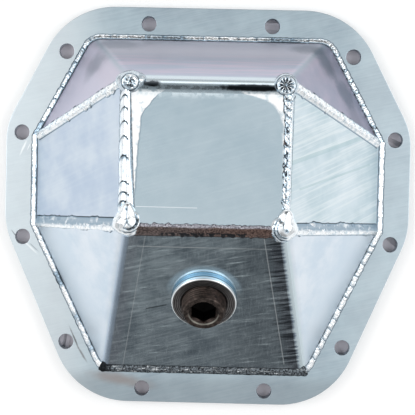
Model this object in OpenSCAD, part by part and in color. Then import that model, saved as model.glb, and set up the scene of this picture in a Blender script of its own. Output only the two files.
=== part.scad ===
// Differential cover, fabricated from flat and folded steel plate.
// A laser-cut flange ring carries a faceted dome: one folded plate makes the face, the top slope
// and the two upper wings, one makes the bottom slope and the two lower wings, and a flat plate
// closes each side. Rippled weld beads fill the open corner joints and run round the flange.
// The gasket face is z = 0, +Z points away from the axle and +Y points up on the vehicle.

/* [Flange] */
// Width of the flange over its straight sides
flange_w = 317.5; // [280:0.5:380]
// Height of the flange from its bottom edge to its top edge
flange_h = 310.5; // [265:0.5:370]
// Thickness of the flange plate
flange_t = 9.5; // [6:0.5:14]
// How far each upper corner cut runs in along the top edge
upper_cut_x = 48.5; // [40:0.5:58]
// How far each upper corner cut runs down the side
upper_cut_y = 93.5; // [78:0.5:110]
// How far each lower corner cut runs in along the bottom edge
lower_cut_x = 59; // [48:0.5:70]
// How far each lower corner cut runs up the side
lower_cut_y = 136.5; // [112:0.5:150]
// Radius of the corners at the ends of the top edge
top_corner_r = 60; // [45:1:72]
// Radius of the corners at the upper ends of the sides
upper_side_r = 52; // [40:1:64]
// Radius of the corners at the lower ends of the sides
lower_side_r = 60; // [45:1:72]
// Radius of the corners at the ends of the bottom edge
bottom_corner_r = 60; // [45:1:72]

/* [Bolt holes] */
// Diameter of the twelve bolt holes
bolt_d = 11.8; // [9:0.1:14]
// Distance between the two holes of the top pair, and of the bottom pair
end_bolt_span = 96.6; // [78:0.2:116]
// Distance from the top edge to the top pair
top_bolt_in = 12.8; // [10:0.1:15]
// Distance from the bottom edge to the bottom pair
bottom_bolt_in = 10.6; // [9:0.1:12.8]
// How far the hole on each upper slope lies down the slope from the top corner
slope_bolt_along = 32.4; // [26:0.2:39]
// Distance from the upper slope's edge to that hole
slope_bolt_in = 14.5; // [12:0.1:16]
// How far the upper side hole lies below the side's upper corner
side_bolt_drop = 6.1; // [5:0.1:7.4]
// Distance from the side edge to the upper side hole
side_bolt_in = 12.2; // [10:0.1:14]
// How far the first hole on each lower slope lies from the side's lower corner
low_bolt_first = 12.7; // [10:0.1:15.4]
// How far the last hole on each lower slope lies from the side's lower corner
low_bolt_last = 102.4; // [84:0.2:120]
// Distance from the lower slope's edge to its two holes
low_bolt_in = 9.8; // [8.5:0.1:12]

/* [Shell] */
// Thickness of the shell plates
plate_t = 6.35; // [4.5:0.05:8]
// Flat width of the flange between its top edge and the shell
land_top = 25; // [20:0.5:30]
// Flat width of the flange between its side edge and the shell
land_side = 23.5; // [19:0.5:28]
// Flat width of the flange between its bottom edge and the shell
land_bottom = 26.8; // [22:0.1:32]
// How far the shell's upper corner cut runs in along its top edge
shell_upper_x = 42.2; // [34:0.2:50]
// How far the shell's upper corner cut runs down its side
shell_upper_y = 78; // [64:0.5:92]
// How far the shell's lower corner cut runs in along its bottom edge
shell_lower_x = 54.6; // [44:0.2:65]
// How far the shell's lower corner cut runs up its side
shell_lower_y = 112.4; // [92:0.2:132]
// Height of the flat face above the flange
shell_rise = 82; // [66:0.5:98]
// Width of the flat face
face_w = 117.5; // [97:0.5:138]
// How far the top slope runs in from the shell's top edge to the face
top_run = 36.3; // [30:0.1:43]
// How far the bottom slope runs in from the shell's bottom edge to the face
bottom_run = 115.5; // [95:0.1:136]
// Inside radius of the folds
fold_r = 7.8; // [6.2:0.1:9.4]

/* [Welds] */
// Gap between the plates' inner edges at the root of each corner joint
root_gap = 0.8; // [0.4:0.1:1.6]
// Leg of the flange fillet welds along the flange
fillet_leg = 5; // [3.5:0.1:6]
// Height of the flange fillet welds above the flange
fillet_rise = 4; // [3:0.1:5]
// How far a fillet bead bulges past the straight line between its toes
fillet_bulge = 0.8; // [0.5:0.05:1.2]
// How far the stacked bead left of the face laps over the face
stacked_face_lap = 2.6; // [2:0.1:3.2]
// How far the stacked bead left of the face laps over the side plate
stacked_side_lap = 4.2; // [3.2:0.1:5.2]
// How far the bead right of the face laps over the side plate
right_side_lap = 2.3; // [1.8:0.1:2.8]
// How far the bead below the face laps over the bottom slope
slope_lap = 5.4; // [4.2:0.1:6.6]
// How far each bead between a side plate and a lower wing laps over the side plate
lower_side_lap = 3.6; // [2.8:0.1:4.4]
// How far a corner-joint bead laps over a plate along its narrow side
narrow_lap = 0.7; // [0.5:0.05:1.1]
// How far a corner-joint bead stands above the sharp ridge
ridge_crown = 0.9; // [0.5:0.05:1.4]
// Distance between the ripples of an ordinary bead
ripple_pitch = 6; // [4.8:0.1:8]
// Distance between the ripples of the stacked bead beside the face
stacked_pitch = 10; // [8:0.2:12]
// Depth of the valley between two ripples
ripple_depth = 0.5; // [0.3:0.05:0.7]
// Radius of the ball of weld metal at each corner of the face
corner_r = 9; // [7.5:0.1:10.5]
// Depth of that ball's centre below the corner
corner_sink = 6.6; // [5.4:0.1:7.8]
// Distance from a face corner to the end of each bead that runs to it
corner_reach = 5.5; // [4.5:0.1:6.5]
// Width of the crater where the weld was ended on top of each ball
crater_d = 7; // [5.6:0.1:8.4]
// Depth of that crater
crater_depth = 1; // [0.8:0.05:1.2]

/* [Fill plug] */
// Wall of the weld bung outside its thread
bung_wall = 7.75; // [6.5:0.05:9]
// Height of the bung above the bottom slope
bung_proud = 6; // [4.8:0.1:8]
// How far the bung stands through on the inside
bung_inside = 6; // [4.5:0.1:8]
// Distance up the bottom slope from the shell's edge to the bung's centre
bung_up = 74.8; // [60:0.2:89]
// Gap round the bung in its hole in the plate
bung_gap = 0.15; // [0.1:0.01:0.3]
// Leg of the weld round the bung on the inside
bung_weld_leg = 5; // [3.5:0.1:6]
// Diameter of the plug's pipe thread
thread_d = 33.4; // [27:0.1:38]
// Pitch of the plug's pipe thread
thread_pitch = 2.21; // [1.8:0.01:2.6]
// Depth of the thread's grooves
thread_depth = 1.1; // [0.8:0.05:1.3]
// Gap between the plug and the bung's bore
thread_gap = 0.05; // [0.02:0.01:0.1]
// Length of the plug
plug_len = 25; // [21:0.5:30]
// How far the plug stands out of the bung
plug_proud = 10.9; // [8.7:0.1:13]
// Diameter of the plug's flat end
plug_end_d = 29.6; // [25.5:0.1:32]
// Diameter of the countersink round the socket
socket_d = 23.6; // [21.5:0.1:25]
// Width across the flats of the hexagonal socket
hex_af = 18; // [14.6:0.1:18.3]
// Depth of the hexagonal socket
hex_depth = 13; // [10:0.5:16]

/* [Hidden] */
$fn = 64;

// Flat facets in each fold, and in the crown of each weld bead
fold_facets = 8;
crown_facets = 6;

zinc = "#b4c3ce";
zinc_top = "#a9aab8";
zinc_dark = "#6f7c86";
weld_zinc = "#d5dce2";
weld_brown = "#6b5a55";
raw_steel = "#6a6460";
black_steel = "#2a2523";

// Corners of the flange before rounding, left side, from the top edge down to the bottom edge
half_w = flange_w / 2;
half_h = flange_h / 2;
top_corner = [-half_w + upper_cut_x, half_h];
upper_corner = [-half_w, half_h - upper_cut_y];
lower_corner = [-half_w, -half_h + lower_cut_y];
bottom_corner = [-half_w + lower_cut_x, -half_h];

// Corners of the shell: the outer edge of its foot on the flange, left side, and of its face
shell_x = half_w - land_side;
shell_top = half_h - land_top;
shell_bottom = -half_h + land_bottom;
face_z = flange_t + shell_rise;
foot_top = [-shell_x + shell_upper_x, shell_top, flange_t];
foot_upper = [-shell_x, shell_top - shell_upper_y, flange_t];
foot_lower = [-shell_x, shell_bottom + shell_lower_y, flange_t];
foot_bottom = [-shell_x + shell_lower_x, shell_bottom, flange_t];
face_upper = [-face_w / 2, shell_top - top_run, face_z];
face_lower = [-face_w / 2, shell_bottom + bottom_run, face_z];

// A plane is kept as [outward normal, distance from the origin]
function unit(v) = v / norm(v);
function plane(a, b, c) =
    let (n = unit(cross(b - a, c - a)), up = n[2] < 0 ? -n : n) [up, up * a];
function inset(p, d) = [p[0], p[1] - d];
function meet(p, q, r) =
    (p[1] * cross(q[0], r[0]) + q[1] * cross(r[0], p[0]) + r[1] * cross(p[0], q[0]))
    / (p[0] * cross(q[0], r[0]));
function slide(x, way, p) = x + way * (p[1] - x * p[0]) / (way * p[0]);
function flip(x) = [-x[0], x[1], x[2]];
function reversed(v) = [for (i = [len(v) - 1 : -1 : 0]) v[i]];
function turn(a, b, k) =
    let (w = acos(a * b)) (sin((1 - k) * w) * a + sin(k * w) * b) / sin(w);
// The square-cut edge of plate p where it meets plate q: half the root gap short of the line
// where their inner faces would meet
function edge_cut(p, q) =
    let (m = unit(q[0] - (q[0] * p[0]) * p[0]),
         x = meet(inset(p, plate_t), inset(q, plate_t), [unit(cross(p[0], q[0])), 0]))
    [m, m * x - root_gap / 2];

up = [0, 0, 1];
floor_plane = [up, flange_t];
bead_top_plane = [up, flange_t + fillet_rise];

// Outer planes of the shell's panels, left side
face = [up, face_z];
top = plane(foot_top, flip(foot_top), face_upper);
bottom = plane(foot_bottom, flip(foot_bottom), face_lower);
side = plane(foot_upper, foot_lower, face_lower);
upper_wing = plane(foot_top, foot_upper, face_upper);
lower_wing = plane(foot_lower, foot_bottom, face_lower);

// Folds: the outer radius, the axes' directions and the points where the axes end
fold_out = fold_r + plate_t;
upper_axis = unit(cross(top[0], upper_wing[0]));
lower_axis = unit(cross(bottom[0], lower_wing[0]));
face_fold_end = meet(inset(face, fold_out), inset(top, fold_out), edge_cut(face, side));
upper_fold_end = meet(inset(face, fold_out), inset(top, fold_out), inset(upper_wing, fold_out));
lower_fold_end =
    meet(inset(bottom, fold_out), inset(lower_wing, fold_out), edge_cut(bottom, face));
upper_wing_end = slide(upper_fold_end, upper_axis, edge_cut(upper_wing, side));
lower_wing_end = slide(lower_fold_end, lower_axis, edge_cut(lower_wing, side));

// Inner edge of the shell's foot, left side: the flange's opening follows it
inner_foot = [
    for (pair = [[top, upper_wing], [upper_wing, side], [side, lower_wing], [lower_wing, bottom]])
        meet(inset(pair[0], plate_t), inset(pair[1], plate_t), floor_plane)
];

bung_d = thread_d + 2 * (thread_gap + bung_wall);

// Frame on the bottom slope at the bung's centre
bung_foot = [0, shell_bottom, flange_t];
bung_centre = bung_foot + bung_up * unit([0, bottom_run, shell_rise]);

// Puts local +Z along n, with local origin at o
module facing(o, n) {
    u = unit(cross(abs(n[1]) > 0.99 ? [1, 0, 0] : [0, 1, 0], n));
    v = cross(n, u);
    multmatrix([
        [u[0], v[0], n[0], o[0]],
        [u[1], v[1], n[1], o[1]],
        [u[2], v[2], n[2], o[2]]
    ]) children();
}

// A corner of the flange's outline: the two tangent points and the centre of its round
function round_corner(before, at, after, r) =
    let (a = unit(before - at), b = unit(after - at), half = acos(a * b) / 2,
         reach = r / tan(half))
    [at + a * reach, at + b * reach, at + unit(a + b) * r / sin(half)];

function mirrored_outline(left) = concat(left, [for (p = reversed(left)) [-p[0], p[1]]]);

module flange_outline() {
    corners = [top_corner, upper_corner, lower_corner, bottom_corner];
    radii = [top_corner_r, upper_side_r, lower_side_r, bottom_corner_r];
    loop = concat([[0, half_h]], corners, [[0, -half_h]]);
    rounds = [for (i = [0 : 3]) round_corner(loop[i], loop[i + 1], loop[i + 2], radii[i])];
    polygon(mirrored_outline([for (c = rounds) each [c[0], c[1]]]));
    for (i = [0 : 3], s = [-1, 1])
        translate([-s * rounds[i][2][0], rounds[i][2][1]]) circle(radii[i]);
}

// Centres of the six bolt holes on the left half
upper_along = unit(upper_corner - top_corner);
lower_along = unit(bottom_corner - lower_corner);
function inward(along) = [-along[1], along[0]];
bolt_centres = [
    [-end_bolt_span / 2, half_h - top_bolt_in],
    top_corner + slope_bolt_along * upper_along + slope_bolt_in * inward(upper_along),
    upper_corner + [side_bolt_in, -side_bolt_drop],
    lower_corner + low_bolt_first * lower_along + low_bolt_in * inward(lower_along),
    lower_corner + low_bolt_last * lower_along + low_bolt_in * inward(lower_along),
    [-end_bolt_span / 2, -half_h + bottom_bolt_in]
];

module flange_ring() {
    color(zinc) difference() {
        linear_extrude(flange_t) flange_outline();
        translate([0, 0, -flange_t]) linear_extrude(3 * flange_t)
            polygon(mirrored_outline([for (p = inner_foot) [p[0], p[1]]]));
        for (c = bolt_centres, s = [-1, 1])
            translate([s * c[0], c[1], -flange_t]) cylinder(h = 3 * flange_t, d = bolt_d);
    }
}

// A folded plate from the boundary of its outer and inner skins and the panels between
module folded_plate(outer, inner, panels) {
    n = len(outer);
    polyhedron(
        points = concat(outer, inner),
        faces = concat(
            panels,
            [for (f = panels) [for (i = reversed(f)) i + n]],
            [for (i = [0 : n - 1]) [i, i + n, (i + 1) % n + n, (i + 1) % n]]
        )
    );
}

// Boundary of one skin of the top plate at radius r about the folds, left half: up the face's
// side, round the fold to the top slope, round the fold to the wing, and back along the flange
function top_skin(r) = concat(
    [meet(inset(face, fold_out), edge_cut(face, side), edge_cut(face, bottom))
        + r * face[0]],
    [for (k = [0 : fold_facets])
        face_fold_end + (upper_fold_end - face_fold_end) * k / fold_facets
        + r * turn(face[0], top[0], k / fold_facets)],
    [for (k = [1 : fold_facets])
        upper_fold_end + (upper_wing_end - upper_fold_end) * k / fold_facets
        + r * turn(top[0], upper_wing[0], k / fold_facets)],
    [slide(upper_wing_end + r * upper_wing[0], cross(upper_wing[0], side[0]), floor_plane)],
    [for (k = [fold_facets : -1 : 0])
        slide(upper_fold_end + r * turn(top[0], upper_wing[0], k / fold_facets),
              upper_axis, floor_plane)]
);

module formed_top_plate() {
    outer = top_skin(fold_out);
    inner = top_skin(fold_r);
    n = fold_facets;
    half = len(outer);
    last = 2 * half - 1;
    panels = concat(
        [[0, 1, last - 1, last]],
        [for (k = [1 : n]) [k, k + 1, last - k - 1, last - k]],
        [[n + 1, half - 1, half, last - n - 1]],
        [for (k = [0 : n - 1]) each [
            [n + 1 + k, n + 2 + k, half - 2 - k, half - 1 - k],
            reversed([last - n - 1 - k, last - n - 2 - k, half + 1 + k, half + k])
        ]],
        [[2 * n + 1, 2 * n + 2, 2 * n + 3],
         reversed([last - 2 * n - 1, last - 2 * n - 2, last - 2 * n - 3])]
    );
    color(zinc_top) folded_plate(
        concat(outer, [for (p = reversed(outer)) flip(p)]),
        concat(inner, [for (p = reversed(inner)) flip(p)]),
        panels
    );
}

// Boundary of one skin of the bottom plate, left half: out along the flange, up the wing's edge
// and back round the fold at the face's level
function bottom_skin(r) = concat(
    [for (k = [0 : fold_facets])
        slide(lower_fold_end + r * turn(bottom[0], lower_wing[0], k / fold_facets),
              lower_axis, floor_plane)],
    [slide(lower_wing_end + r * lower_wing[0], cross(lower_wing[0], side[0]), floor_plane)],
    [for (k = [fold_facets : -1 : 0])
        lower_fold_end + (lower_wing_end - lower_fold_end) * k / fold_facets
        + r * turn(bottom[0], lower_wing[0], k / fold_facets)]
);

module formed_bottom_plate() {
    outer = bottom_skin(fold_out);
    inner = bottom_skin(fold_r);
    n = fold_facets;
    half = len(outer);
    last = 2 * half - 1;
    panels = concat(
        [[0, half - 1, half, last]],
        [for (k = [0 : n - 1]) each [
            [k, k + 1, half - 2 - k, half - 1 - k],
            reversed([last - k, last - k - 1, half + 1 + k, half + k])
        ]],
        [[n, n + 1, n + 2], reversed([last - n, last - n - 1, last - n - 2])]
    );
    color(zinc_dark) difference() {
        folded_plate(
            concat(outer, [for (p = reversed(outer)) flip(p)]),
            concat(inner, [for (p = reversed(inner)) flip(p)]),
            panels
        );
        facing(bung_centre, bottom[0])
            translate([0, 0, -3 * plate_t])
                cylinder(h = 6 * plate_t, d = bung_d + 2 * bung_gap);
    }
}

// Flat plate with square-cut edges, bevelled along its foot to sit on the flange
module left_side_plate() {
    inner = inset(side, plate_t);
    below = [up, flange_t - plate_t];
    to_face = edge_cut(side, face);
    to_upper = edge_cut(side, upper_wing);
    to_lower = edge_cut(side, lower_wing);
    corners = [
        meet(inner, to_face, to_lower), meet(inner, to_face, to_upper),
        meet(inner, to_upper, below), meet(inner, to_lower, below)
    ];
    u = unit(cross([0, 1, 0], side[0]));
    v = cross(side[0], u);
    color(zinc) difference() {
        facing(corners[0], side[0]) linear_extrude(plate_t)
            polygon([for (c = corners) [(c - corners[0]) * u, (c - corners[0]) * v]]);
        translate([-flange_w, -flange_w, flange_t - flange_w])
            cube([2 * flange_w, 2 * flange_w, flange_w]);
    }
}

module right_side_plate() {
    mirror([1, 0, 0]) left_side_plate();
}

// Joins rings of points into a closed solid, with the end caps given as lists of indices
module lofted(rings, start_cap, end_cap, extra = [], extra_faces = []) {
    m = len(rings[0]);
    polyhedron(
        points = concat([for (r = rings) each r], extra),
        faces = concat(
            [start_cap, end_cap],
            [for (i = [0 : len(rings) - 2], j = [0 : m - 1])
                [i * m + j, i * m + (j + 1) % m, (i + 1) * m + (j + 1) % m, (i + 1) * m + j]],
            extra_faces
        )
    );
}

// A bead in the open corner joint between plates p and q, along the ridge from a to b.
// Its root fills the groove between the plates' square edges, and its rippled crown laps over
// both plates, by laps[0] over p and laps[1] over q. A bead that runs down to the flange ends on
// top of the fillet bead there, while its root goes on down the groove.
module ridge_bead(p, q, a, b, laps, pitch, to_flange) {
    way = unit(b - a);
    mid = unit(p[0] + q[0]);
    depth = plate_t / (mid * p[0]);
    out_p = unit((p[0] * q[0]) * p[0] - q[0]);
    out_q = unit((p[0] * q[0]) * q[0] - p[0]);
    finish = to_flange ? slide(a, way, bead_top_plane) : b - corner_reach * way;
    start = a + corner_reach * way;
    run = norm(finish - start) - (to_flange ? 2 * max(laps) : 0);
    count = round(run / pitch);
    step = run / count;
    bow = min(pitch / 2, 2.5);
    n = crown_facets;
    // Root and outer edge of the groove's wall on the plate with that panel, at distance l
    function wall(l, panel, out) =
        let (root = start + l * way - depth * mid + root_gap / 2 * out)
        [root, root + plate_t * panel[0]];
    function crown(l, grow, rise, bent, s) =
        let (toe_p = wall(l, p, out_p)[1] + grow * laps[0] * out_p,
             toe_q = wall(l, q, out_q)[1] + grow * laps[1] * out_q,
             high = (start + l * way - (toe_p + toe_q) / 2) * mid + rise)
        toe_p + (toe_q - toe_p) * (s + 1) / 2 + mid * high * (1 - s * s) - way * bent * s * s;
    // Section at distance l: from the top of the crown to the toe on q, the groove's walls, and
    // from the toe on p back to the top
    function section(l, grow, rise, bent) =
        let (wall_p = wall(l, p, out_p), wall_q = wall(l, q, out_q))
        concat(
            [for (i = [0 : n / 2]) crown(l, grow, rise, bent, 2 * i / n)],
            [wall_q[1], wall_q[0], wall_p[0], wall_p[1]],
            [for (i = [0 : n / 2 - 1]) crown(l, grow, rise, bent, -1 + 2 * i / n)]
        );
    valley = ridge_crown - ripple_depth;
    ripples = [for (i = [0 : count - 1]) each [
        section((i + 0.15) * step + bow, 0.8, valley, bow),
        section((i + 0.6) * step + bow, 1, ridge_crown, bow)
    ]];
    last = section(run, 0.8, valley, 0);
    inside = [for (r = ripples) if ((r[0] - start) * way < run - 0.5) r];
    rings = concat(
        [section(0, 0.8, valley, 0)],
        inside,
        to_flange ? [[for (x = last) slide(x, way, bead_top_plane)]] : [last]
    );
    m = len(last);
    k = (len(rings) - 1) * m;
    e = len(rings) * m;
    g = n / 2 + 1;
    groove = [for (i = [g : g + 3]) rings[len(rings) - 1][i]];
    ridge_foot = slide(start, way, bead_top_plane);
    lofted(
        rings,
        [for (i = [m - 1 : -1 : 0]) i],
        to_flange
            ? concat([for (i = [0 : g]) k + i], [e], [for (i = [g + 3 : m - 1]) k + i])
            : [for (i = [0 : m - 1]) k + i],
        to_flange
            ? concat([ridge_foot],
                     [for (x = concat([ridge_foot], groove)) slide(x, way, floor_plane)])
            : [],
        to_flange
            ? concat(
                [[for (i = [1 : 5]) e + i], [e, k + g, e + 2, e + 1]],
                [for (i = [0 : 2]) [k + g + i, k + g + i + 1, e + i + 3, e + i + 2]],
                [[k + g + 3, e, e + 1, e + 5]]
            )
            : []
    );
}

// One station of a flange fillet bead: where it meets the corner line, its toe on the plate and
// its toe on the flange
function level(n) = unit([n[0], n[1], 0]);
function fold_station(axis_point, axis, n) =
    let (foot = slide(axis_point + fold_out * n, axis, floor_plane))
    [foot, slide(axis_point + fold_out * n, axis, bead_top_plane), foot + fillet_leg * level(n)];
function ridge_station(foot, peak, p, q) =
    [foot, slide(foot, peak - foot, bead_top_plane),
     foot + fillet_leg * (level(p[0]) + level(q[0])) / (1 + level(p[0]) * level(q[0]))];
function panel_station(foot, p) =
    let (upslope = unit(up - (up * p[0]) * p[0]))
    [foot, slide(foot, upslope, bead_top_plane), foot + fillet_leg * level(p[0])];

// A fillet bead through its stations, clockwise seen from above: those before the straight run,
// the run's two ends on panel p, and those after it
module fillet_bead(before, from, to, after, p, pitch) {
    n = crown_facets;
    way = unit(to - from);
    run = norm(to - from);
    count = round(run / pitch);
    step = run / count;
    bow = pitch / 5;
    function ring(s, grow, bent) =
        let (out = unit(unit(s[1] - s[0]) + unit(s[2] - s[0])),
             toe = s[0] + (s[2] - s[0]) * grow)
        concat([s[0]], [for (i = [0 : n])
            let (t = i / n, w = 4 * t * (1 - t))
            s[1] + (toe - s[1]) * t + out * fillet_bulge * grow * w - way * bent * (1 - w)]);
    straight = [for (i = [0 : count - 1]) each [
        ring(panel_station(from + way * step * (i + 0.3), p), 0.88, bow),
        ring(panel_station(from + way * step * (i + 0.75), p), 1, bow)
    ]];
    rings = concat(
        [for (s = before) ring(s, 0.9, 0)], straight, [for (s = after) ring(s, 0.9, 0)]
    );
    m = n + 2;
    lofted(rings, [for (i = [m - 1 : -1 : 0]) i], [for (i = [0 : m - 1]) (len(rings) - 1) * m + i]);
}

function flip_stations(v) = [for (s = reversed(v)) [for (x = s) flip(x)]];
function fold_stations(axis_point, axis, a, b, from, to, count) =
    [for (i = [0 : count]) fold_station(axis_point, axis, turn(a, b, from + (to - from) * i / count))];

upper_corner_station = ridge_station(foot_upper, face_upper, upper_wing, side);
lower_corner_station = ridge_station(foot_lower, face_lower, side, lower_wing);

// The flange's beads all run clockwise seen from above
module flange_weld_top() {
    near = fold_stations(upper_fold_end, upper_axis, top[0], upper_wing[0], 0.5, 0, 3);
    color(weld_zinc)
        fillet_bead(near, near[3][0], flip(near[3][0]), flip_stations(near), top, ripple_pitch);
}

module flange_weld_bottom() {
    far = fold_stations(lower_fold_end, lower_axis, bottom[0], lower_wing[0], 0, 0.5, 3);
    color(weld_brown)
        fillet_bead(flip_stations(far), flip(far[0][0]), far[0][0], far, bottom, ripple_pitch);
}

module flange_weld_upper_left() {
    far = fold_stations(upper_fold_end, upper_axis, top[0], upper_wing[0], 1, 0.5, 3);
    color(weld_zinc)
        fillet_bead([upper_corner_station], foot_upper, far[0][0], far, upper_wing, ripple_pitch);
}

module flange_weld_left() {
    color(weld_zinc)
        fillet_bead([lower_corner_station], foot_lower, foot_upper, [upper_corner_station],
                    side, ripple_pitch);
}

module flange_weld_lower_left() {
    near = fold_stations(lower_fold_end, lower_axis, bottom[0], lower_wing[0], 0.5, 1, 3);
    color(weld_zinc)
        fillet_bead(near, near[3][0], foot_lower, [lower_corner_station], lower_wing, ripple_pitch);
}

module flange_weld_upper_right() {
    mirror([1, 0, 0]) flange_weld_upper_left();
}

module flange_weld_right() {
    mirror([1, 0, 0]) flange_weld_left();
}

module flange_weld_lower_right() {
    mirror([1, 0, 0]) flange_weld_lower_left();
}

module face_weld_left() {
    color(weld_zinc)
        ridge_bead(face, side, face_lower, face_upper, [stacked_face_lap, stacked_side_lap],
                   stacked_pitch, false);
}

module face_weld_right() {
    color(weld_zinc) mirror([1, 0, 0])
        ridge_bead(face, side, face_lower, face_upper, [narrow_lap, right_side_lap],
                   ripple_pitch, false);
}

module face_weld_bottom() {
    color(weld_brown)
        ridge_bead(bottom, face, face_lower, flip(face_lower), [slope_lap, narrow_lap],
                   ripple_pitch, false);
}

module ridge_weld_upper_left() {
    color(weld_zinc)
        ridge_bead(upper_wing, side, face_upper, foot_upper, [narrow_lap, narrow_lap],
                   ripple_pitch, true);
}

module ridge_weld_lower_left() {
    color(weld_zinc)
        ridge_bead(side, lower_wing, face_lower, foot_lower, [lower_side_lap, narrow_lap],
                   ripple_pitch, true);
}

module ridge_weld_upper_right() {
    mirror([1, 0, 0]) ridge_weld_upper_left();
}

module ridge_weld_lower_right() {
    mirror([1, 0, 0]) ridge_weld_lower_left();
}

// The ball of weld metal at a corner of the face: it fills the corner between the plates and
// the ends of the beads, and stands proud of them outside, with a shallow crater on top
module corner_ball(c, panels, ways) {
    mid = unit(panels[0][0] + panels[1][0] + panels[2][0]);
    size = 6 * corner_r;
    root_face = 0.5;
    rim_z = sqrt(corner_r * corner_r - crater_d * crater_d / 4);
    lean = unit(mid + 2 * up);
    difference() {
        translate(c - corner_sink * mid) sphere(corner_r);
        for (w = ways) facing(c + corner_reach * w, w)
            translate([-size / 2, -size / 2, 0]) cube(size);
        intersection_for (p = panels) facing(c, p[0])
            translate([-size / 2, -size / 2, -size - plate_t + root_face]) cube(size);
        facing(c - corner_sink * mid + (rim_z - crater_depth) * lean, lean)
            cylinder(h = 2 * crater_depth, d1 = 0.4 * crater_d, d2 = 1.6 * crater_d);
        children();
    }
}

module corner_weld_upper_left() {
    color(weld_zinc)
        corner_ball(face_upper, [face, top, upper_wing, side],
                    [unit(face_lower - face_upper), unit(foot_upper - face_upper)]) {
            formed_top_plate();
            left_side_plate();
        }
}

module corner_weld_lower_left() {
    color(weld_zinc)
        corner_ball(face_lower, [face, bottom, lower_wing, side],
                    [unit(face_upper - face_lower), unit(foot_lower - face_lower), [1, 0, 0]]) {
            formed_top_plate();
            formed_bottom_plate();
            left_side_plate();
        }
}

module corner_weld_upper_right() {
    mirror([1, 0, 0]) corner_weld_upper_left();
}

module corner_weld_lower_right() {
    mirror([1, 0, 0]) corner_weld_lower_left();
}

// Threaded steel ring set in a hole in the bottom slope, square to it
module fill_bung() {
    bore_r = thread_d / 2 + thread_gap;
    edge = 0.8;
    inner_end = -plate_t - bung_inside;
    color(raw_steel) facing(bung_centre, bottom[0]) rotate_extrude() polygon([
        [bore_r, inner_end], [bung_d / 2, inner_end], [bung_d / 2, bung_proud - edge],
        [bung_d / 2 - edge, bung_proud], [bore_r + edge, bung_proud], [bore_r, bung_proud - edge]
    ]);
}

// Fillet weld between the bung and the inside of the bottom slope
module bung_inner_weld() {
    color(weld_zinc) facing(bung_centre, bottom[0]) rotate_extrude() polygon([
        [bung_d / 2, -plate_t], [bung_d / 2 + bung_weld_leg, -plate_t],
        [bung_d / 2, -plate_t - bung_weld_leg]
    ]);
}

// Pipe plug with a hexagonal socket: its thread is cut as plain grooves where it stands out of
// the bung, and its engaged length is a plain cylinder
module fill_plug() {
    r = thread_d / 2;
    end = bung_proud + plug_proud;
    end_r = plug_end_d / 2;
    lead = r - end_r;
    grooves = floor((plug_proud - lead) / thread_pitch);
    sink = (socket_d - hex_af) / 2;
    color(black_steel) facing(bung_centre, bottom[0]) difference() {
        rotate_extrude() polygon(concat(
            [[0, end - plug_len], [r, end - plug_len]],
            [for (i = [0 : grooves - 1], half = [0, 0.5])
                [r - (half > 0 ? thread_depth : 0), bung_proud + (i + half) * thread_pitch]],
            [[r, bung_proud + grooves * thread_pitch], [end_r, end], [0, end]]
        ));
        translate([0, 0, end - sink])
            cylinder(h = sink + 1, r1 = socket_d / 2 - sink, r2 = socket_d / 2 + 1);
        translate([0, 0, end - hex_depth]) rotate([0, 0, 90])
            cylinder(h = hex_depth + 1, d = hex_af / cos(30), $fn = 6);
    }
}

flange_ring();
formed_top_plate();
formed_bottom_plate();
left_side_plate();
right_side_plate();
fill_bung();
fill_plug();
bung_inner_weld();
flange_weld_top();
flange_weld_upper_left();
flange_weld_upper_right();
flange_weld_left();
flange_weld_right();
flange_weld_lower_left();
flange_weld_lower_right();
flange_weld_bottom();
face_weld_left();
face_weld_right();
face_weld_bottom();
ridge_weld_upper_left();
ridge_weld_upper_right();
ridge_weld_lower_left();
ridge_weld_lower_right();
corner_weld_upper_left();
corner_weld_upper_right();
corner_weld_lower_left();
corner_weld_lower_right();
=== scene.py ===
from math import atan2, cos, exp, pi, radians, sin, sqrt

import bpy
from mathutils import Matrix, Vector, noise


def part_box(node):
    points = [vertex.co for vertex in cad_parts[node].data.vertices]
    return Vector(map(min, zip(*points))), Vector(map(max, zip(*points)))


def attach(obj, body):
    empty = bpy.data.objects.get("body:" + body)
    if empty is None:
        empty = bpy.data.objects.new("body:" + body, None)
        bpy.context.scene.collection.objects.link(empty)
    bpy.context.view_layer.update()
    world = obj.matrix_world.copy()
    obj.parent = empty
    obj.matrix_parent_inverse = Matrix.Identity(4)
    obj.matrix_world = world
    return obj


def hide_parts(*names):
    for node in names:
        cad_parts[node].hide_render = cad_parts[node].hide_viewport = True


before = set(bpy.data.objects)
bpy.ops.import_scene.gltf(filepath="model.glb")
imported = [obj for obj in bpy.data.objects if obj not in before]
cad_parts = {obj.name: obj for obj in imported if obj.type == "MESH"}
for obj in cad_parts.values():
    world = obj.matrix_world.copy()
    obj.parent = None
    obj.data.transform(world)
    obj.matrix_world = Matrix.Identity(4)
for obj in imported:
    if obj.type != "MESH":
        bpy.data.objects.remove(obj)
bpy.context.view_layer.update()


# Floor of the studio: a wide sheet of white card, lit softly. It shows as white to the camera
# and in the metal, and still keeps the soft shadow that the cover lays on it.
floor_w = 8.0
floor_gap = 0.0002
card_lift = 0.12


def linear(code):
    """An sRGB colour written as six hex digits, as linear red, green, blue and alpha."""
    channels = [int(code[k:k + 2], 16) / 255 for k in (0, 2, 4)]
    return [c / 12.92 if c <= 0.04045 else ((c + 0.055) / 1.055) ** 2.4 for c in channels] + [1]


def add(tree, kind, inputs=None, **settings):
    """Adds a node with its settings, and gives each of its inputs a value or a link."""
    made = tree.nodes.new("ShaderNode" + kind)
    for name, value in settings.items():
        setattr(made, name, value)
    for socket, value in (inputs or {}).items():
        if isinstance(value, bpy.types.NodeSocket):
            tree.links.new(value, made.inputs[socket])
        else:
            made.inputs[socket].default_value = value
    return made


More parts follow.
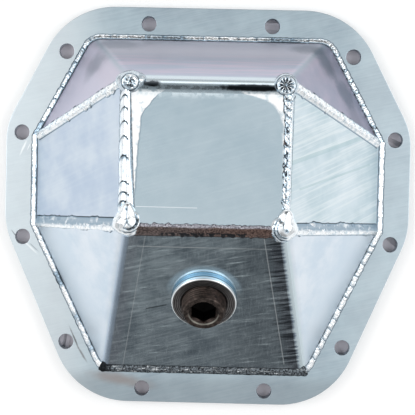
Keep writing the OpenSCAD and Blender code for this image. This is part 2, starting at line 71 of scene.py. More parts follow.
def finish_named(name):
    """A new material with one Principled shader: returns it, its nodes and that shader."""
    made = bpy.data.materials.new(name)
    made.use_nodes = True
    made.node_tree.nodes.clear()
    shader = add(made.node_tree, "BsdfPrincipled")
    add(made.node_tree, "OutputMaterial", {"Surface": shader.outputs[0]})
    return made, made.node_tree, shader


def clear_selection():
    """Leaves nothing selected, so that the next operator acts only on its own piece."""
    bpy.ops.object.select_all(action="DESELECT")


clear_selection()
bpy.ops.mesh.primitive_plane_add(size=floor_w, location=(0, 0, -floor_gap))
floor = bpy.context.object
floor.name = "studio_floor"
card, tree, shader = finish_named("white card")
shader.inputs["Base Color"].default_value = linear("f4f4f4")
shader.inputs["Roughness"].default_value = 1
shader.inputs["Specular IOR Level"].default_value = 0
seen = add(tree, "LightPath")
lift = add(tree, "Math", {0: seen.outputs["Is Camera Ray"], 1: seen.outputs["Is Glossy Ray"]},
           operation="MAXIMUM")
lift = add(tree, "Math", {0: lift.outputs[0], 1: card_lift}, operation="MULTIPLY")
shader.inputs["Emission Color"].default_value = (1, 1, 1, 1)
tree.links.new(lift.outputs[0], shader.inputs["Emission Strength"])
floor.data.materials.append(card)


# Light of the studio: a soft white surround, brighter at both sides than overhead, a dark panel
# high behind the cover and a grey one low in front of it, and two large soft lamps at the sides.
lamp_reach = 1.1
lamp_size = 0.7
lamp_power = 3.0
overhead_level = 0.93
side_level = 1.6
behind_level = 0.09
front_level = 0.36
strip_level = 1.6

surround = bpy.data.worlds.new("soft white surround")
bpy.context.scene.world = surround
surround.use_nodes = True
tree = surround.node_tree
tree.nodes.clear()


def ramp(tree, value, low, high, start=0.0, end=1.0):
    """A smooth step from start to end as the value goes from low to high."""
    return add(tree, "MapRange", {"Value": value, "From Min": low, "From Max": high, "To Min": start,
                                  "To Max": end}, interpolation_type="SMOOTHSTEP").outputs[0]


def maths(tree, operation, *values):
    """One arithmetic step on numbers or links."""
    return add(tree, "Math", dict(enumerate(values)), operation=operation).outputs[0]


way = add(tree, "SeparateXYZ", {0: add(tree, "TexCoord").outputs["Generated"]}).outputs
across = maths(tree, "ABSOLUTE", way["X"])
along = maths(tree, "ABSOLUTE", way["Y"])
open_sky = maths(tree, "MULTIPLY", ramp(tree, across, 0.0, 0.45, overhead_level, side_level),
                 ramp(tree, along, 0.0, 0.35, 1.1, 0.66))
open_sky = maths(tree, "MULTIPLY", open_sky, ramp(tree, across, 0.5, 0.9, 1, 0.55))
middle = ramp(tree, across, 0.35, 0.75, 1, 0)
behind = maths(tree, "MULTIPLY", ramp(tree, way["Y"], 0.30, 0.44), ramp(tree, way["Y"], 0.70, 0.84, 1, 0))
in_front = ramp(tree, way["Y"], -0.8, -0.55, 1, 0)
strip_light = maths(tree, "MULTIPLY", ramp(tree, way["Y"], 0.86, 0.92), ramp(tree, way["Y"], 0.94, 0.985, 1, 0))
level = add(tree, "Mix", {0: maths(tree, "MULTIPLY", behind, middle), 2: open_sky, 3: behind_level})
level = add(tree, "Mix", {0: strip_light, 2: level.outputs[0], 3: strip_level})
level = add(tree, "Mix", {0: maths(tree, "MULTIPLY", in_front, middle), 2: level.outputs[0],
                          3: front_level})
level = add(tree, "Mix", {0: add(tree, "LightPath").outputs["Is Camera Ray"],
                          2: level.outputs[0], 3: 1.0})
glow = add(tree, "Background", {"Color": (1, 1, 1, 1), "Strength": level.outputs[0]})
add(tree, "OutputWorld", {"Surface": glow.outputs[0]})

for side in (-1, 1):
    soft = bpy.data.lights.new("side_lamp", "AREA")
    soft.size = lamp_size
    soft.energy = lamp_power
    lamp = bpy.data.objects.new("side_lamp", soft)
    bpy.context.collection.objects.link(lamp)
    lamp.location = (side * lamp_reach * 0.8, 0.15, lamp_reach * 0.75)
    lamp.rotation_euler = Vector(lamp.location).to_track_quat("Z", "Y").to_euler()


# Camera: straight above the cover and a little to the top and right of its middle, as the
# photograph was taken, with the picture turned slightly clockwise.
camera_at = Vector((0.0114, 0.0365, 0.970))
looks_at = Vector((0.0006, -0.0004, 0.0095))
view_angle = radians(19.28)
roll = 0.0221

toward = (looks_at - camera_at).normalized()
right = toward.cross(Vector((0, 1, 0))).normalized()
upward = right.cross(toward)
tilted_right = right * cos(roll) + upward * sin(roll)
tilted_up = upward * cos(roll) - right * sin(roll)
view = bpy.data.cameras.new("camera")
view.angle = view_angle
camera = bpy.data.objects.new("camera", view)
bpy.context.collection.objects.link(camera)
turned = Matrix((tilted_right, tilted_up, -toward)).transposed()
camera.matrix_world = Matrix.Translation(camera_at) @ turned.to_4x4()
bpy.context.scene.camera = camera
bpy.context.scene.view_settings.view_transform = "Standard"


# Flange: a ring cut by laser from thick steel plate, with twelve bolt holes, flat and square at
# its edges. It was zinc plated after a light brushing, so it is pale blue-grey with fine streaks.
laser_edge = 0.0004


def plate_copy(node, name):
    """A copy of a CAD node as one clean mesh: its triangles merged and flat areas joined."""
    piece = bpy.data.objects.new(name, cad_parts[node].data.copy())
    bpy.context.collection.objects.link(piece)
    clear_selection()
    piece.select_set(True)
    bpy.context.view_layer.objects.active = piece
    bpy.ops.object.mode_set(mode="EDIT")
    bpy.ops.mesh.select_all(action="SELECT")
    bpy.ops.mesh.remove_doubles(threshold=0.000002)
    bpy.ops.mesh.dissolve_limited(angle_limit=radians(0.5))
    bpy.ops.object.mode_set(mode="OBJECT")
    piece.data.materials.clear()
    return piece


def soften(piece, edge, angle=30):
    """Rounds the sharp edges of a plate and keeps its flat faces flat in the light."""
    bpy.context.view_layer.objects.active = piece
    if edge:
        rounding = piece.modifiers.new("edges", "BEVEL")
        rounding.width = edge
        rounding.segments = 2
        rounding.limit_method = "ANGLE"
        rounding.angle_limit = radians(angle)
        rounding.harden_normals = False
        bpy.ops.object.modifier_apply(modifier=rounding.name)
    bpy.ops.object.shade_smooth_by_angle(angle=radians(angle))
    flatten = piece.modifiers.new("flat", "WEIGHTED_NORMAL")
    flatten.keep_sharp = True
    bpy.ops.object.modifier_apply(modifier=flatten.name)


def noise_at(tree, place, size, detail=4, rough=0.6):
    """A cloudy pattern with patches about that size, in metres along each axis."""
    scaled = add(tree, "Mapping", {0: place, "Scale": size}, vector_type="TEXTURE")
    return add(tree, "TexNoise", {0: scaled.outputs[0], "Scale": 1, "Detail": detail,
                                  "Roughness": rough}).outputs[0]


def tinted(tree, share, low, high):
    """A colour between two: each is a colour code or a link, and so is their share."""
    return add(tree, "Mix", {0: share, 6: linear(low) if isinstance(low, str) else low,
                             7: linear(high) if isinstance(high, str) else high},
               data_type="RGBA").outputs[2]


def patch(tree, place, at, size, turn, wobble, soft=0.5):
    """A soft-edged oval patch at a place, turned about Z, whose edge is made uneven."""
    local = add(tree, "Mapping", {0: place, "Location": at, "Rotation": (0, 0, radians(turn)),
                                  "Scale": size}, vector_type="TEXTURE")
    far = add(tree, "VectorMath", {0: local.outputs[0]}, operation="LENGTH").outputs["Value"]
    uneven = maths(tree, "MULTIPLY_ADD", wobble, 1.2, far)
    return ramp(tree, uneven, 1.6 - soft, 1.6 + soft, 1, 0)


def scribed(tree, place, a, b, width):
    """A straight line scribed between two points, as seen from the front."""
    along = Vector((b[0] - a[0], b[1] - a[1], 0))
    length = along.length
    along.normalize()
    from_a = add(tree, "VectorMath", {0: place, 1: (a[0], a[1], 0)}, operation="SUBTRACT").outputs[0]
    on = add(tree, "VectorMath", {0: from_a, 1: along}, operation="DOT_PRODUCT").outputs["Value"]
    off = add(tree, "VectorMath", {0: from_a, 1: (-along.y, along.x, 0)},
              operation="DOT_PRODUCT").outputs["Value"]
    return maths(tree, "MULTIPLY", maths(tree, "COMPARE", off, 0, width),
                 maths(tree, "COMPARE", on, length / 2, length / 2))


flange = plate_copy("flange_ring", "flange")
soften(flange, laser_edge)

# Zinc plated steel plate: the zinc gives a satin blue-grey metal, the brushing under it fine
# streaks, and the bath pale and dull clouds.
zinc, tree, shader = finish_named("zinc plated laser cut plate")
place = add(tree, "TexCoord").outputs["Object"]
clouds = add(tree, "TexNoise", {0: place, "Scale": 1 / 0.035, "Detail": 4, "Roughness": 0.6})
brushed = add(tree, "Mapping", {0: place, "Rotation": (0, 0, radians(14)),
                                "Scale": (0.030, 0.0011, 0.03)}, vector_type="TEXTURE")
streaks = add(tree, "TexNoise", {0: brushed.outputs[0], "Scale": 1, "Detail": 3, "Roughness": 0.7})
cloudy = ramp(tree, clouds.outputs[0], 0.3, 0.7)
colour = add(tree, "Mix", {0: cloudy, 6: linear("98a9b4"), 7: linear("aabcc5")}, data_type="RGBA")
fine = add(tree, "MapRange", {"Value": streaks.outputs[0], "From Min": 0.3, "From Max": 0.7,
                              "To Min": 0, "To Max": 0.3})
colour = add(tree, "Mix", {0: fine.outputs[0], 6: colour.outputs[2], 7: linear("cbd6dc")},
             data_type="RGBA")
spot = add(tree, "SeparateXYZ", {0: place}).outputs
# Painted light and shade: the left side and the right edge lighter, the bottom edge darker.
colour = tinted(tree, ramp(tree, spot["X"], -0.07, -0.12, 0, 0.45), colour.outputs[2], "e6ebed")
colour = tinted(tree, ramp(tree, spot["X"], 0.10, 0.13, 0, 0.15), colour, "dfe7ea")
colour = tinted(tree, ramp(tree, spot["Y"], -0.128, -0.142, 0, 0.4), colour, "7e868c")
stain_at = add(tree, "Mapping", {0: place, "Location": (-0.066, -0.138, 0.0095),
                                 "Rotation": (0, 0, radians(-10)), "Scale": (0.034, 0.007, 0.02)},
               vector_type="TEXTURE")
stain_far = add(tree, "VectorMath", {0: stain_at.outputs[0]}, operation="LENGTH")
stain_edge = maths(tree, "ADD", stain_far.outputs["Value"], clouds.outputs[0])
stain = ramp(tree, stain_edge, 0.6, 1.5, 0.6, 0)
colour = tinted(tree, stain, colour, "93857f")

# Scuffs beside the bolt holes on the left, bright or filled with dirt
wobble = noise_at(tree, place, (0.004, 0.004, 0.004))
for at, size, turn, share, tone in (
        ((-0.1452, 0.0438, 0.0095), (0.0050, 0.0007, 0.01), 66, 0.6, "f7fafb"),
        ((-0.1410, 0.0445, 0.0095), (0.0026, 0.0004, 0.01), 66, 0.5, "f7fafb"),
        ((-0.1510, -0.0250, 0.0095), (0.0035, 0.0004, 0.01), -52, 0.6, "4d565e"),
        ((-0.1405, -0.0330, 0.0095), (0.0080, 0.0007, 0.01), -42, 0.5, "f7fafb"),
        ((-0.1360, -0.0345, 0.0095), (0.0045, 0.0004, 0.01), -42, 0.5, "6c767e"),
        ((-0.1025, -0.1060, 0.0095), (0.0085, 0.0006, 0.01), -66, 0.75, "4e4f50"),
        ((-0.0965, -0.1180, 0.0095), (0.0070, 0.0007, 0.01), -58, 0.6, "5f5856")):
    scuff = maths(tree, "MULTIPLY", patch(tree, place, at, size, turn, wobble, 0.6), share)
    colour = tinted(tree, scuff, colour, tone)
dull = add(tree, "MapRange", {"Value": clouds.outputs[0], "From Min": 0.3, "From Max": 0.7,
                              "To Min": 0.30, "To Max": 0.38})
ridges = add(tree, "Bump", {"Strength": 0.25, "Distance": 0.00006, "Height": streaks.outputs[0]})
shader.inputs["Metallic"].default_value = 1
tree.links.new(colour, shader.inputs["Base Color"])
tree.links.new(dull.outputs[0], shader.inputs["Roughness"])
tree.links.new(ridges.outputs[0], shader.inputs["Normal"])
flange.data.materials.append(zinc)
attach(flange, "root")
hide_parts("flange_ring")


# Grey sheet under the cover, cut a little smaller than the flange: painted shade in the bolt holes.
shade_sheet_inset = 0.985
shade_sheet_z = -0.0001

shade_sheet = plate_copy("flange_ring", "painted_shade_sheet")
bpy.ops.object.mode_set(mode="EDIT")
bpy.ops.mesh.select_all(action="SELECT")
bpy.ops.mesh.convex_hull()
bpy.ops.object.mode_set(mode="OBJECT")
for vertex in shade_sheet.data.vertices:
    flat = vertex.co * shade_sheet_inset
    vertex.co = (flat.x, flat.y, shade_sheet_z - (0.00005 if vertex.co.z < 0.004 else 0))
grey_shade_sheet, tree, shader = finish_named("grey painted shade sheet")
shader.inputs["Base Color"].default_value = linear("d0cad1")
shader.inputs["Roughness"].default_value = 1
shader.inputs["Specular IOR Level"].default_value = 0
shade_sheet.data.materials.append(grey_shade_sheet)


# Formed top plate: quarter-inch steel sheet folded three times in a press brake, which makes the
# flat face, the top slope and the two upper wings. Zinc plated, with streaks across the slope,
# bright washes on the face where the welds heated it, and smudges low on the slope and the wings.
top_plate = plate_copy("formed_top_plate", "top_plate")
soften(top_plate, 0)


def border(tree, height, points):
    """Distance across the face of a wavy border, given at several heights from -20 to 100 mm."""
    curve = add(tree, "FloatCurve")
    line = curve.mapping.curves[0].points
    spots = [((y + 20) / 120, (x + 60) / 120) for x, y in points]
    line[0].location, line[1].location = spots[0], spots[-1]
    for spot in spots[1:-1]:
        line.new(*spot)
    curve.mapping.update()
    tree.links.new(maths(tree, "MULTIPLY_ADD", height, 1 / 0.12, 1 / 6), curve.inputs["Value"])
    return maths(tree, "MULTIPLY_ADD", curve.outputs[0], 0.12, -0.06)


sheet_zinc, tree, shader = finish_named("zinc plated folded sheet")
coords = add(tree, "TexCoord").outputs
place = coords["Object"]
facing = add(tree, "SeparateXYZ", {0: coords["Normal"]}).outputs
spot = add(tree, "SeparateXYZ", {0: place}).outputs
slope = ramp(tree, facing["Y"], 0.80, 0.90)
turned_out = maths(tree, "ABSOLUTE", facing["X"])
wing = ramp(tree, turned_out, 0.1, 0.6)
on_face = ramp(tree, facing["Z"], 0.985, 0.999)
clouds = noise_at(tree, place, (0.03, 0.03, 0.03))
mottle = noise_at(tree, place, (0.0045, 0.0045, 0.0045), 4)
bands = noise_at(tree, place, (0.07, 0.005, 0.005))
fine = noise_at(tree, place, (0.016, 0.0007, 0.0007), 2, 0.5)
low_left = maths(tree, "MULTIPLY", ramp(tree, spot["Y"], -0.02, 0.05, 0.35, 0), 1)
face_tone = tinted(tree, ramp(tree, clouds, 0.3, 0.7), "a7b9c3", "b1c1ca")
face_tone = tinted(tree, low_left, face_tone, "bccad1")
rubbing = add(tree, "Mapping", {0: place, "Rotation": (0, 0, radians(17)),
                                "Scale": (0.05, 0.0012, 0.05)}, vector_type="TEXTURE")
rubbing = add(tree, "TexNoise", {0: rubbing.outputs[0], "Scale": 1, "Detail": 3}).outputs[0]
face_tone = tinted(tree, ramp(tree, rubbing, 0.45, 0.7, 0, 0.1), face_tone, "c9d5dc")
slope_tone = tinted(tree, ramp(tree, bands, 0.35, 0.65), "b9c2d3", "cfc8d8")
# Painted light: the slope lighter towards its foot.
slope_tone = tinted(tree, ramp(tree, spot["Z"], 0.06, 0.03, 0, 1), slope_tone, "d9d9e4")
wing_tone = tinted(tree, ramp(tree, clouds, 0.3, 0.7), "a0a3b5", "b4aebe")
colour = tinted(tree, slope, face_tone, slope_tone)
wing_tone = tinted(tree, ramp(tree, spot["X"], -0.03, -0.06, 0, 0.65), wing_tone, "d4d0de")
colour = tinted(tree, wing, colour, wing_tone)
# Painted highlight along the fold between the face and the slope.
fold_highlight = maths(tree, "MULTIPLY", ramp(tree, facing["Y"], 0.42, 0.55), ramp(tree, facing["Y"], 0.84, 0.90, 1, 0))
fold_highlight = maths(tree, "MULTIPLY", fold_highlight, ramp(tree, turned_out, 0.01, 0.04, 1, 0))
colour = tinted(tree, fold_highlight, colour, "d3dfe6")

# Bright washes beside the face's edges, each with a fine dark rim towards the face's middle
left_line = border(tree, spot["Y"], ((-52, -20), (-52, 4), (-50.5, 20), (-49.9, 36), (-48.2, 57),
                                     (-46.3, 70), (-41.4, 76), (-37, 82), (-30, 87), (-20, 100)))
right_line = border(tree, spot["Y"], ((56.5, -20), (55.5, 10), (54.8, 45), (54.0, 60), (53.0, 67.5),
                                      (49.5, 75), (42, 80), (33, 83), (24, 86.2), (19, 100)))
wavy = maths(tree, "MULTIPLY_ADD", noise_at(tree, place, (0.007, 0.007, 0.007)), 0.003, -0.0015)
left_off = maths(tree, "ADD", maths(tree, "SUBTRACT", left_line, spot["X"]), wavy)
right_off = maths(tree, "MULTIPLY_ADD", wavy, 2, maths(tree, "SUBTRACT", spot["X"], right_line))
left_wash = maths(tree, "MULTIPLY", ramp(tree, left_off, 0.0, 0.0006), ramp(tree, spot["Y"], 0.004, 0.016))
right_wash = ramp(tree, right_off, -0.001, 0.0022)
wash = maths(tree, "MULTIPLY", maths(tree, "MAXIMUM", left_wash, right_wash), on_face)
wash_tone = tinted(tree, ramp(tree, mottle, 0.54, 0.66), "fdfeff", "d3e0e7")
colour = tinted(tree, wash, colour, wash_tone)
rim = maths(tree, "MULTIPLY", ramp(tree, maths(tree, "ABSOLUTE", left_off), 0.0003, 0.0010, 0.5, 0),
            maths(tree, "MULTIPLY", on_face, ramp(tree, spot["Y"], 0.004, 0.016)))
colour = tinted(tree, rim, colour, "7f939e")

# A mottled light strip on the face below the fold, and a scribed line near its lower edge
strip = maths(tree, "MULTIPLY", ramp(tree, spot["Y"], 0.0795, 0.0845), ramp(tree, mottle, 0.42, 0.6, 0.25, 1))
strip = maths(tree, "MULTIPLY", strip, maths(tree, "MULTIPLY", on_face, ramp(tree, spot["X"], 0.0, 0.04, 1, 0.3)))
colour = tinted(tree, strip, colour, "d0dee5")
colour = tinted(tree, maths(tree, "MULTIPLY", scribed(tree, place, (-0.050, 0.0024), (-0.006, 0.0022), 0.0003),
                            0.55), colour, "eef5f8")

# Painted dark reflection along the lower half of the fold: grey and duller in mottles, and near black in a blot at
# its left end and a band on its right half
uneven = noise_at(tree, place, (0.006, 0.006, 0.006))
blot = patch(tree, place, (-0.0405, 0.0912, 0.091), (0.0065, 0.0022, 0.01), 0, uneven, 0.3)
band = patch(tree, place, (0.0330, 0.0895, 0.091), (0.0240, 0.0026, 0.01), 0, uneven, 0.3)
fold_dark_reflection = maths(tree, "MULTIPLY", maths(tree, "MAXIMUM", blot, band), 0.9)
fold_grey_reflection = maths(tree, "MULTIPLY", ramp(tree, facing["Y"], 0.03, 0.12), ramp(tree, facing["Y"], 0.36, 0.5, 1, 0))
fold_grey_reflection = maths(tree, "MULTIPLY", fold_grey_reflection, ramp(tree, turned_out, 0.01, 0.04, 1, 0))
fold_grey_reflection = maths(tree, "MULTIPLY", fold_grey_reflection, ramp(tree, mottle, 0.42, 0.62, 0.25, 1))
fold_grey_reflection = maths(tree, "MULTIPLY", fold_grey_reflection, maths(tree, "SUBTRACT", 1, fold_dark_reflection))
colour = tinted(tree, fold_grey_reflection, colour, "8d9ca5")
colour = tinted(tree, fold_dark_reflection, colour, "12161f")

# Dark smudges where the plating is dull, by the ends of the slope and on the wings
wobble = noise_at(tree, place, (0.012, 0.012, 0.012))
for at, size, turn, share in (
        ((-0.070, 0.124, 0.021), (0.017, 0.006, 0.012), -8, 0.3),
        ((-0.086, 0.110, 0.048), (0.008, 0.012, 0.014), -30, 0.2),
        ((-0.087, 0.107, 0.034), (0.006, 0.012, 0.014), -30, 0.35),
        ((0.077, 0.123, 0.023), (0.014, 0.006, 0.012), 8, 0.4),
        ((0.089, 0.114, 0.030), (0.007, 0.013, 0.013), 30, 0.75),
        ((0.104, 0.090, 0.024), (0.006, 0.012, 0.012), 30, 0.6),
        ((0.113, 0.070, 0.028), (0.005, 0.014, 0.012), 25, 0.35)):
    smudge = maths(tree, "MULTIPLY", patch(tree, place, at, size, turn, wobble), share)
    colour = tinted(tree, smudge, colour, "6c7886")

low_down = ramp(tree, spot["Z"], 0.055, 0.025, 0, 0.16)
shine = maths(tree, "ADD", ramp(tree, facing["Z"], 0.55, 0.65, 0.34, 0.12), low_down)
shine = maths(tree, "MAXIMUM", shine, ramp(tree, on_face, 0.0, 1.0, 0.0, 0.26))
dull = maths(tree, "MAXIMUM", maths(tree, "MULTIPLY", wash, 0.6), maths(tree, "MULTIPLY", fold_grey_reflection, 0.5))
tree.links.new(maths(tree, "SUBTRACT", 1, dull), shader.inputs["Metallic"])
tree.links.new(shine, shader.inputs["Roughness"])
tree.links.new(colour, shader.inputs["Base Color"])
rubbed = add(tree, "Bump", {"Strength": 0.12, "Distance": 0.00003, "Height": fine})
tree.links.new(rubbed.outputs[0], shader.inputs["Normal"])
top_plate.data.materials.append(sheet_zinc)
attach(top_plate, "root")
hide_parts("formed_top_plate")


# Formed bottom plate: the same sheet folded twice, into the steep bottom slope and two lower
# wings. The slope is dark and slaty, partly by painted shade, with the layout lines still scribed
# on it and black grinding streaks at its right fold, while the folds and the wings are bright.
bung_at = Vector((0, -0.06746, 0.05280))

bottom_plate = plate_copy("formed_bottom_plate", "bottom_plate")
soften(bottom_plate, 0)

dark_zinc, tree, shader = finish_named("dark zinc plated sheet")
coords = add(tree, "TexCoord").outputs
place = coords["Object"]
facing = add(tree, "SeparateXYZ", {0: coords["Normal"]}).outputs
spot = add(tree, "SeparateXYZ", {0: place}).outputs
turned_out = maths(tree, "ABSOLUTE", facing["X"])
clouds = noise_at(tree, place, (0.02, 0.02, 0.02), 5)
grain = noise_at(tree, place, (0.0009, 0.009, 0.009), 3)
# Painted shade: the slope's tone darker than the wings', darker again towards its bottom and on its right half.
colour = tinted(tree, ramp(tree, clouds, 0.3, 0.7), "76858f", "adbdc5")
colour = tinted(tree, ramp(tree, spot["Y"], -0.05, -0.115, 0, 0.35), colour, "7c8791")
rubbing = add(tree, "Mapping", {0: place, "Rotation": (0, 0, radians(17)),
                                "Scale": (0.03, 0.0015, 0.03)}, vector_type="TEXTURE")
rubbing = add(tree, "TexNoise", {0: rubbing.outputs[0], "Scale": 1, "Detail": 4, "Roughness": 0.6})
colour = tinted(tree, ramp(tree, rubbing.outputs[0], 0.45, 0.7, 0, 0.34), colour, "c8d4db")
colour = tinted(tree, ramp(tree, rubbing.outputs[0], 0.5, 0.3, 0, 0.32), colour, "4d5860")
colour = tinted(tree, ramp(tree, spot["X"], 0.0, 0.04, 0, 0.45), colour, "5c646b")
edge_band = maths(tree, "ADD", maths(tree, "ABSOLUTE", spot["X"]), maths(tree, "MULTIPLY", spot["Y"], 0.19))
colour = tinted(tree, ramp(tree, edge_band, 0.040, 0.047, 0, 0.35), colour, "8a8c98")
colour = tinted(tree, maths(tree, "MULTIPLY", ramp(tree, grain, 0.5, 0.7), 0.3), colour, "c3d0d8")

# Black streaks of the grinder, ragged at their ends, between the right scribed line and the fold
slanted = add(tree, "Mapping", {0: place, "Rotation": (0, 0, radians(8)),
                                "Scale": (0.024, 0.0021, 0.024)}, vector_type="TEXTURE")
strokes = add(tree, "TexNoise", {0: slanted.outputs[0], "Scale": 1, "Detail": 5, "Roughness": 0.6})
strokes = strokes.outputs[0]
reach = maths(tree, "MULTIPLY_ADD", strokes, 0.055, -0.0275)
ragged = maths(tree, "ADD", maths(tree, "MULTIPLY_ADD", spot["Y"], 0.19, spot["X"]), reach)
ground = maths(tree, "MULTIPLY", ramp(tree, ragged, 0.038, 0.052), ramp(tree, strokes, 0.38, 0.60))
beside_fold = ramp(tree, maths(tree, "MULTIPLY_ADD", spot["Y"], 0.19, spot["X"]), 0.034, 0.050, 0, 0.35)
colour = tinted(tree, beside_fold, colour, "424b53")
colour = tinted(tree, maths(tree, "MULTIPLY", ground, 0.8), colour, "1f262c")

# Layout lines, a short dark line beside the bung, and the sheen that its heat left above it
for a, b, width, share, tone in (
        ((-0.0432, -0.019), (-0.0634, -0.1255), 0.00036, 0.42, "dfe6ea"),
        ((0.0429, -0.0187), (0.0635, -0.1220), 0.00036, 0.6, "dfe6ea"),
        ((-0.0492, -0.0270), (0.0490, -0.0272), 0.00032, 0.4, "e6edf0"),
        ((-0.0492, -0.0270), (0.0008, -0.0271), 0.00034, 0.35, "e6edf0"),
        ((-0.0440, -0.0768), (-0.0284, -0.0733), 0.0004, 0.7, "20262b")):
    line = maths(tree, "MULTIPLY", scribed(tree, place, a, b, width), share)
    colour = tinted(tree, line, colour, tone)
sheen_at = add(tree, "Mapping", {0: place, "Location": bung_at + Vector((0, 0.004, 0.003)),
                                 "Scale": (0.0262, 0.0205, 1)}, vector_type="TEXTURE")
sheen_far = add(tree, "VectorMath", {0: sheen_at.outputs[0]}, operation="LENGTH").outputs["Value"]
sheen = maths(tree, "MULTIPLY", ramp(tree, sheen_far, 1.0, 1.16, 0.8, 0),
              ramp(tree, spot["Y"], -0.066, -0.05))
colour = tinted(tree, sheen, colour, "c6e4f6")

wing = ramp(tree, turned_out, 0.06, 0.42)
wing_tone = tinted(tree, ramp(tree, clouds, 0.3, 0.7), "d2e0ec", "e5edf5")
# Painted light: the wings lighter towards the flange.
wing_tone = tinted(tree, ramp(tree, spot["Z"], 0.05, 0.02, 0, 0.7), wing_tone, "e0ecf6")
colour = tinted(tree, wing, colour, wing_tone)
fold = maths(tree, "MULTIPLY", ramp(tree, turned_out, 0.03, 0.12), ramp(tree, turned_out, 0.3, 0.5, 1, 0))
colour = tinted(tree, maths(tree, "MULTIPLY", fold, 0.6), colour, "b9cfe6")
frayed = maths(tree, "MULTIPLY_ADD", strokes, -0.5, maths(tree, "ADD", facing["X"], 0.25))
right_fold = maths(tree, "MULTIPLY", ramp(tree, frayed, 0.01, 0.20), ramp(tree, facing["X"], 0.35, 0.55, 1, 0))
colour = tinted(tree, maths(tree, "MULTIPLY", right_fold, 0.8), colour, "d3e2e6")
tree.links.new(maths(tree, "MULTIPLY_ADD", right_fold, -0.5, 1), shader.inputs["Metallic"])
tree.links.new(ramp(tree, turned_out, 0.15, 0.5, 0.17, 0.4), shader.inputs["Roughness"])
tree.links.new(colour, shader.inputs["Base Color"])
bottom_plate.data.materials.append(dark_zinc)
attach(bottom_plate, "root")
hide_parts("formed_bottom_plate")


# Side plates: flat pieces of the same sheet, cut to fit between the two folded plates. The left
# one is smooth and bluish, and the right one shows slanted grinding marks and a teal band.
for side, dark, light, mark_share in (("left", "b9c8da", "ced9e4", 0.15), ("right", "bccfd7", "d3e0e7", 0.8)):
    panel = plate_copy(side + "_side_plate", side + "_plate")
    soften(panel, 0)
    side_zinc, tree, shader = finish_named(f"zinc plated flat sheet, {side}")
    place = add(tree, "TexCoord").outputs["Object"]
    clouds = noise_at(tree, place, (0.03, 0.03, 0.03), 3)
    ground = add(tree, "Mapping", {0: place, "Rotation": (0, 0, radians(24)),
                                   "Scale": (0.07, 0.0022, 0.07)}, vector_type="TEXTURE")
    marks = add(tree, "TexNoise", {0: ground.outputs[0], "Scale": 1, "Detail": 3, "Roughness": 0.6})
    colour = tinted(tree, ramp(tree, clouds, 0.3, 0.7), dark, light)
    strokes = maths(tree, "MULTIPLY", ramp(tree, marks.outputs[0], 0.42, 0.68), 0.55 * mark_share)
    colour = tinted(tree, strokes, colour, "eff4f6")
    if side == "right":
        for a, b, width in (((0.056, 0.034), (0.125, 0.059), 0.0016), ((0.068, 0.017), (0.126, 0.036), 0.0008)):
            band = maths(tree, "MULTIPLY", scribed(tree, place, a, b, width), 0.3)
            colour = tinted(tree, band, colour, "8fb4b8")
    shader.inputs["Metallic"].default_value = 1
    shader.inputs["Roughness"].default_value = 0.3
    tree.links.new(colour, shader.inputs["Base Color"])
    panel.data.materials.append(side_zinc)
    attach(panel, "root")
    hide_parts(side + "_side_plate")


# Weld beads along the ridges: steel laid down by hand in overlapping puddles, so each bead is a
# row of crescents. Its root fills the groove between the plates' square edges, and its crown
# laps over both. They were plated with the cover, and stay bright, with painted shade along
# their rims and toes.
plate_t = 0.00635
face_x = 0.05875
face_top = 0.09395
face_bottom = -0.01295
face_z = 0.0915
flange_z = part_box("flange_ring")[1].z
root_gap = 0.0008
bead_step = 0.0004
crown_steps = 26
toe_sink = 0.0001

face_upper = Vector((-face_x, face_top, face_z))
face_lower = Vector((-face_x, face_bottom, face_z))
foot_top = Vector((-0.09305, 0.13025, flange_z))
foot_upper = Vector((-0.13525, 0.05225, flange_z))
foot_lower = Vector((-0.13525, -0.01605, flange_z))
foot_bottom = Vector((-0.08065, -0.12845, flange_z))


def mirrored(v):
    """The same point or direction on the cover's other side."""
    return Vector((-v.x, v.y, v.z))


def square_to(a, b, c):
    """Outward normal of the plate through three points, clockwise seen from outside."""
    return (c - a).cross(b - a).normalized()


face = Vector((0, 0, 1))
top = square_to(foot_top, mirrored(foot_top), mirrored(face_upper))
upper_wing = square_to(foot_upper, foot_top, face_upper)
side_panel = square_to(foot_lower, foot_upper, face_upper)
lower_wing = square_to(foot_bottom, foot_lower, face_lower)
bottom = square_to(face_lower, mirrored(face_lower), mirrored(foot_bottom))


def between(keys, step):
    """Sections of a bead at even distances, between the ones that are given."""
    rows = []
    for here, there in zip(keys, keys[1:]):
        count = max(1, round(max((v - u).length for u, v in zip(here, there)) / step))
        rows += [[u.lerp(v, k / count) for u, v in zip(here, there)] for k in range(count)]
    return rows + [list(keys[-1])]


def even(s, distance):
    """No shade of its own: the bead is as bright on both flanks."""
    return 0.0


